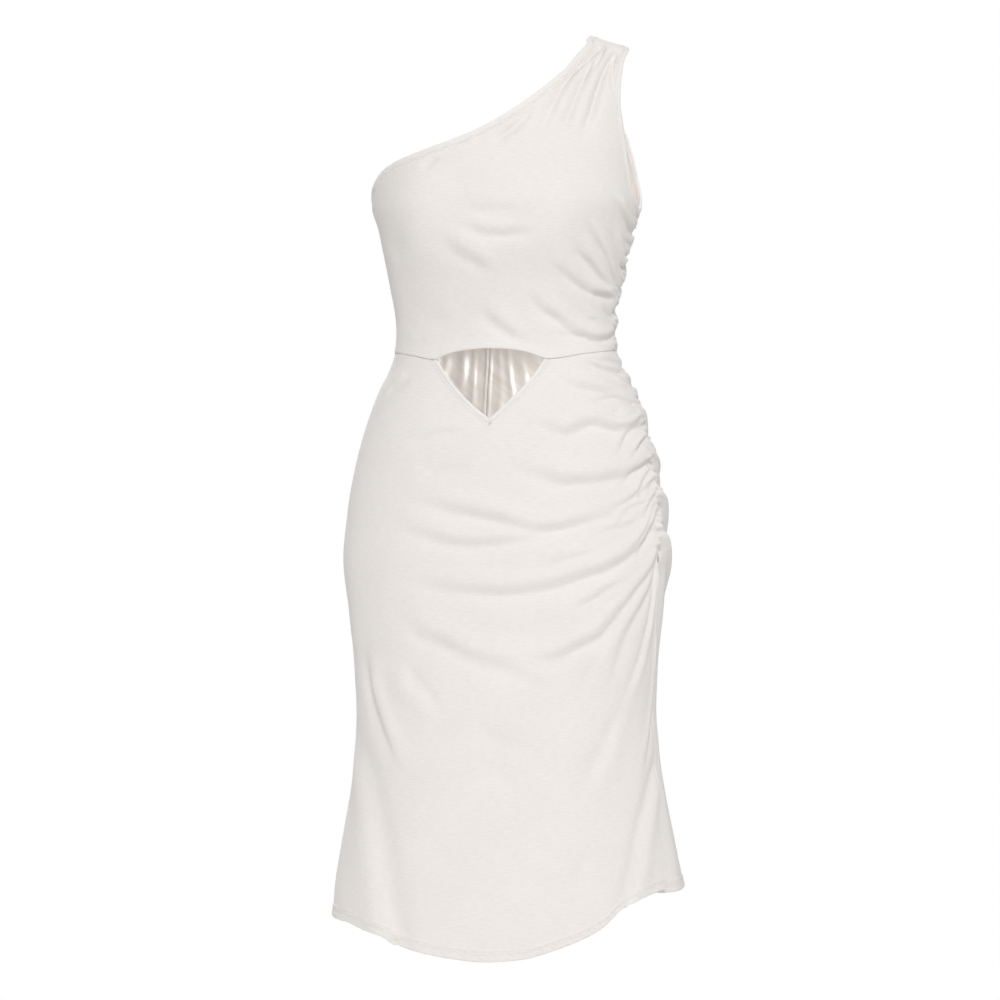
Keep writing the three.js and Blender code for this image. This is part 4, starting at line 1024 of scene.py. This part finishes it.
# A folded strip over a raw edge, from two lines of (t, z): round at both sides, with a stitched line.
def makeBinding(name, outerLine, innerLine, outerFirst, node):
    steps = bindings["edgeSteps"]
    share = spacing(bindings["width"], bindings["across"], steps, steps)
    first, last = (outerLine, innerLine) if outerFirst else (innerLine, outerLine)
    t = mix(first[0][:, None], last[0][:, None], share[None, :])
    z = mix(first[1][:, None], last[1][:, None], share[None, :])
    fromTop, fromFoot, fromFirst, fromLast = edgeDistances(t, z)
    toOuter, toInner = (fromFirst, fromLast) if outerFirst else (fromLast, fromFirst)
    fold = rounded(toOuter, *bindings["foldRound"])
    dip = np.maximum(fold, rounded(toInner, *bindings["sewnRound"]))
    dip = np.maximum(dip, rounded(np.minimum(fromTop, fromFoot), *bindings["endRound"]))
    fromLine = (toInner - bindings["seamLine"]) / bindings["grooveWidth"]
    rise = foldHeight(t, z) + bindings["proud"] - dip - bindings["groove"] * np.exp(-(fromLine**2))
    wall = bindings["thick"] - dip - fold * bindings["foldThin"]
    strip, face = addSheet(name, t, z, rise, wall, foldedJersey, [node])
    return strip, face, "last" if outerFirst else "first"


# Each strip with its outer face and the edge of that face that is sewn down.
trims = {}
for name, half in halves.items():
    along = np.linspace(0, 1, bindings["along"])
    strips = (
        ("neck", "neck", body["neckBand"], 1.0),
        ("arm", "armhole", body["armBand"], bodice["armFootSpread"]))
    for edge, word, wide, spread in strips:
        outerLine, innerLine = (bodiceInset(half, edge, along, inset, spread) for inset in (0, wide))
        outerFirst = (edge == "neck") == (half["sign"] < 0)
        title = f"{word}Binding{name.capitalize()}"
        trims[title] = makeBinding(title, outerLine, innerLine, outerFirst, f"{word}_binding_{name}")

for side in ("Right", "Left"):
    outerLine, innerLine = (
        veeLine(side, inset, bindings["cutoutAlong"]) for inset in (0, body["cutoutBand"]))
    title = "cutoutBinding" + side
    trims[title] = makeBinding(title, outerLine, innerLine, True, f"cutout_binding_{side.lower()}")

print("lining: satin inside the back, on both sides of its seam")
lining = {
    "seamT": 196,
    "top": -326,  # bodice part reaches up to here
    "foot": -474,
    "leftT": 104,
    "rightT": 250,
    "rows": 90,
    "columns": 110,
    "thick": 0.9,
    "gap": 0.35,
    # upright wrinkles: t, depth, half width in millimetres, lean of the line in degrees of t
    "wrinkles": [
        (110, 1.2, 4, 2), (119, 0.9, 3, -1), (128, 1.6, 5, 1), (139, 1.4, 3.5, -2), (147, 2.4, 5, 2),
        (156, 1.8, 3, 0), (163, 2.6, 4, -2), (170, 1.9, 4, 1), (177.5, 2.2, 4.6, 5),
        (184.5, 1.7, 3.2, 2), (190, 2.6, 3.2, -1), (203, 1.2, 3.6, 1), (209, 3, 5.6, -1), (219, 1.6, 5, 2),
        (228, 2.4, 5.5, -1), (236, 1.8, 3.5, -2), (243, 1.8, 4, 1),
    ],
    "sway": (0.6, 19),  # the wrinkles sway by this many degrees, and the height that sets how often
    "swell": 24,  # they deepen and fade over this height
    "swellShare": 0.35,
    "seamRidge": 1.6,  # a ridge stands on both sides of the seam
    "seamRidgeAt": 2.2,
    "seamRidgeWidth": 1.2,
    "seamReach": 6,
}


def makeLining(name, fromT, toT):
    t = np.repeat(np.linspace(fromT, toT, lining["columns"])[None, :], lining["rows"], 0)
    z = np.linspace(lining["top"], lining["foot"], lining["rows"])[:, None] + 0 * t
    mm = perDegree(t, z)
    share = (z - lining["foot"]) / (lining["top"] - lining["foot"])
    depth = np.zeros_like(t)
    sway, swayOver = lining["sway"]
    swellShare = lining["swellShare"]
    for at, deep, wide, lean in lining["wrinkles"]:
        away = (t - at - lean * (share - 0.5) - sway * np.sin(z / swayOver + at)) * mm
        swell = 1 - swellShare + swellShare * np.sin(z / lining["swell"] + at * 1.7)
        depth += deep * swell * np.exp(-((away / wide) ** 2))
    fromSeam = np.minimum(np.abs(t - lining["seamT"]) * mm, lining["seamReach"])
    fromRidge = (fromSeam - lining["seamRidgeAt"]) / lining["seamRidgeWidth"]
    depth += lining["seamRidge"] * np.exp(-(fromRidge**2))
    rise = foldHeight(t, z) - body["jersey"] - lining["gap"] - depth
    wall = np.full_like(t, lining["thick"])
    nodes = [f"lining_bodice_{name}", f"lining_skirt_{name}"]
    return addSheet(f"satinLining{name.capitalize()}", t, z, rise, wall, satin, nodes)[0]


liningLeft = makeLining("left", lining["leftT"], lining["seamT"])
liningRight = makeLining("right", lining["seamT"], lining["rightT"])

print("stitches: one is modelled, then copied along each row")
stitches = {
    "pitch": 2.9,
    "long": 2.2,
    "radius": 0.3,
    "flat": 0.6,
    "lift": 0.05,  # its middle stands this far above the cloth
    "aim": 0.6,  # it lies along the cloth between points this far ahead and behind
    "slitBelow": 4,  # the row at the slit starts this far below its top
}
bpy.ops.object.select_all(action="DESELECT")
bpy.ops.mesh.primitive_cylinder_add(
    vertices=6, radius=stitches["radius"] / 1000, depth=stitches["long"] / 1000, end_fill_type="TRIFAN")
stitch = bpy.context.object
bpy.ops.object.mode_set(mode="EDIT")
bpy.ops.mesh.select_all(action="SELECT")
bpy.ops.transform.resize(value=(1, stitches["flat"], 1))
bpy.ops.object.mode_set(mode="OBJECT")
bpy.ops.object.shade_smooth()
stitch.data.materials.append(thread)


# A line on a sheet's face, the given distance in millimetres from one of its edges.
def lineOnFace(face, edge, distance):
    across = face.transpose(1, 0, 2)
    grid = {"top": face, "foot": face[::-1], "first": across, "last": across[::-1]}[edge]
    steps = np.linalg.norm(np.diff(grid, axis=0), axis=2)
    run = np.vstack([0 * steps[:1], np.cumsum(steps, 0)]) * 1000
    return np.array([
        [np.interp(distance, run[:, k], grid[:, k, axis]) for axis in range(3)]
        for k in range(grid.shape[1])])


# A row of stitches at one distance from an edge, kept below a height of the frame in metres.
def sew(name, face, edge, distance, below=1.0):
    line = lineOnFace(face, edge, distance)
    inner = lineOnFace(face, edge, distance + 1)
    kept = line[:, 2] < below
    line, inner = line[kept], inner[kept]
    run = np.concatenate([[0], np.cumsum(np.linalg.norm(np.diff(line, axis=0), axis=1))]) * 1000
    count = int(run[-1] / stitches["pitch"])
    middleAxis = toFrame(np.array([0.0, 0.0, 0.0]))
    copies = []
    for k in range(count):
        at = (k + 0.5) * run[-1] / count
        place, start, end, beside = (
            Vector([float(np.interp(x, run, points[:, axis])) for axis in range(3)])
            for x, points in (
                (at, line), (at - stitches["aim"], line), (at + stitches["aim"], line), (at, inner)))
        ahead = (end - start).normalized()
        normal = ahead.cross(beside - place).normalized()
        if normal.x * (place.x - middleAxis[0]) + normal.y * (place.y - middleAxis[1]) < 0:
            normal = -normal
        turn = Matrix((normal.cross(ahead), normal, ahead)).transposed().to_4x4()
        copy = stitch.copy()
        copy.matrix_world = Matrix.Translation(place + normal * stitches["lift"] / 1000) @ turn
        bpy.context.scene.collection.objects.link(copy)
        copies.append(copy)
    row = copies[0]
    row.data = stitch.data.copy()
    bpy.ops.object.select_all(action="DESELECT")
    for copy in copies:
        copy.select_set(True)
    bpy.context.view_layer.objects.active = row
    bpy.ops.object.join()
    bpy.ops.object.transform_apply(location=True, rotation=True, scale=True)
    row.name = name
    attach(row, "root")


slitTopZ = (upright["slitFront"][0][0] - body["heldAt"][2]) / 1000
for title, face in (("Front", skirtFrontFace), ("Back", skirtBackFace)):
    for count, distance in enumerate(skirt["hemStitches"], 1):
        sew(f"hemStitches{title}{count}", face, "foot", distance)
sew("slitStitches", skirtFrontFace, "last", skirt["slitFold"], slitTopZ - stitches["slitBelow"] / 1000)
for title, (strip, face, edge) in trims.items():
    sew(title + "Stitches", face, edge, bindings["seamLine"], bindings["sewnUpTo"])
bpy.data.objects.remove(stitch)

print("studio: floor, world, lights and camera")
studio = {
    "floorZ": -2.1,
    "floorRadius": 1.5,
    "floorSides": 96,
    "floorColour": "#E9E7E4",
    "floorRoughness": 0.95,
    "floorFade": (0.8, 1.45),  # from here outward the floor brightens into the white behind it
    "floorGlow": 1.0,
    "below": 0.37,  # brightness of the world that lights the dress, from below and from above
    "above": 0.42,
    "cameraAt": (0.521, -3.3388, -0.5293),
    "lookAt": (-0.1278, -0.0012, -0.5293),
    "lens": 104.95,
    "sensor": 36,
    "farthest": 60,  # the camera sees nothing beyond this many metres
    # softboxes that face the dress: place, power in watts, width and height in metres
    "lights": [
        ((1.3, -5.7, 3.3), 240, 2.0, 1.6),
        ((-3.0, -2.0, -1.1), 30, 1.4, 1.6),
        ((3.2, -1.8, 0.35), 38, 1.4, 1.8),
        ((-1.5, 3.0, 2.2), 105, 1.4, 1.2),
    ],
    # small softboxes in the hollow, for the satin and for the back behind the armhole:
    # place, the point that each faces, power in watts, width and height in metres
    "inside": [
        ((-0.055, -0.03, -0.465), (-0.125, 0.09, -0.432), 0.22, 0.05, 0.1),
        ((-0.06, -0.02, -0.168), (0.021, 0.039, -0.138), 0.034, 0.05, 0.08),
    ],
    "insideColour": (1.0, 0.985, 0.96),
}

bpy.ops.object.select_all(action="DESELECT")
bpy.ops.mesh.primitive_circle_add(
    vertices=studio["floorSides"], radius=studio["floorRadius"], fill_type="NGON",
    location=(0, 0, studio["floorZ"]))
floor = bpy.context.object
floor.name = "studioFloor"
floorPaint, floorTree, paint = startMaterial("mattWhitePaint")
paint.inputs["Base Color"].default_value = linear(studio["floorColour"])
paint.inputs["Roughness"].default_value = studio["floorRoughness"]
paint.inputs["Emission Color"].default_value = (1, 1, 1, 1)
spot = addNode(floorTree, "ShaderNodeTexCoord")
reach = addNode(
    floorTree, "ShaderNodeVectorMath", {"operation": "LENGTH"}, links={0: spot.outputs["Object"]})
fadeStart, fadeEnd = studio["floorFade"]
fade = addNode(
    floorTree, "ShaderNodeMapRange", {"interpolation_type": "SMOOTHSTEP"},
    inputs={"From Min": fadeStart, "From Max": fadeEnd, "To Min": 0, "To Max": studio["floorGlow"]},
    links={"Value": reach.outputs["Value"]})
floorTree.links.new(fade.outputs["Result"], paint.inputs["Emission Strength"])
floor.data.materials.append(floorPaint)

world = bpy.data.worlds.new("paleStudio")
bpy.context.scene.world = world
world.use_nodes = True
sky = world.node_tree
direction = addNode(sky, "ShaderNodeTexCoord")
split = addNode(sky, "ShaderNodeSeparateXYZ", links={"Vector": direction.outputs["Generated"]})
glow = addNode(
    sky, "ShaderNodeMapRange",
    inputs={"From Min": -1, "From Max": 1, "To Min": studio["below"], "To Max": studio["above"]},
    links={"Value": split.outputs["Z"]})
lighting = sky.nodes["Background"]
lighting.inputs["Color"].default_value = (1, 1, 1, 1)
sky.links.new(glow.outputs["Result"], lighting.inputs["Strength"])
backdrop = addNode(sky, "ShaderNodeBackground", inputs={"Color": (1, 1, 1, 1), "Strength": 1.0})
ray = addNode(sky, "ShaderNodeLightPath")
shown = addNode(
    sky, "ShaderNodeMixShader",
    links={0: ray.outputs["Is Camera Ray"], 1: lighting.outputs["Background"],
           2: backdrop.outputs["Background"]})
sky.links.new(shown.outputs["Shader"], sky.nodes["World Output"].inputs["Surface"])


# A softbox of this power, width and height that stands at one place and faces another.
def addSoftbox(place, aim, power, wide, high):
    bpy.ops.object.light_add(type="AREA", location=place)
    box = bpy.context.object
    box.rotation_euler = (Vector(aim) - Vector(place)).to_track_quat("-Z", "Y").to_euler()
    box.data.shape = "RECTANGLE"
    box.data.size = wide
    box.data.size_y = high
    box.data.energy = power
    return box


for place, power, wide, high in studio["lights"]:
    addSoftbox(place, studio["lookAt"], power, wide, high)
for place, aim, power, wide, high in studio["inside"]:
    lamp = addSoftbox(place, aim, power, wide, high)
    lamp.data.color = studio["insideColour"]
    lamp.visible_camera = False

bpy.ops.object.camera_add(location=studio["cameraAt"])
camera = bpy.context.object
sight = Vector(studio["lookAt"]) - Vector(studio["cameraAt"])
camera.rotation_euler = sight.to_track_quat("-Z", "Y").to_euler()
camera.data.lens = studio["lens"]
camera.data.sensor_width = studio["sensor"]
camera.data.clip_end = studio["farthest"]
bpy.context.scene.camera = camera
bpy.context.scene.view_settings.view_transform = "Standard"
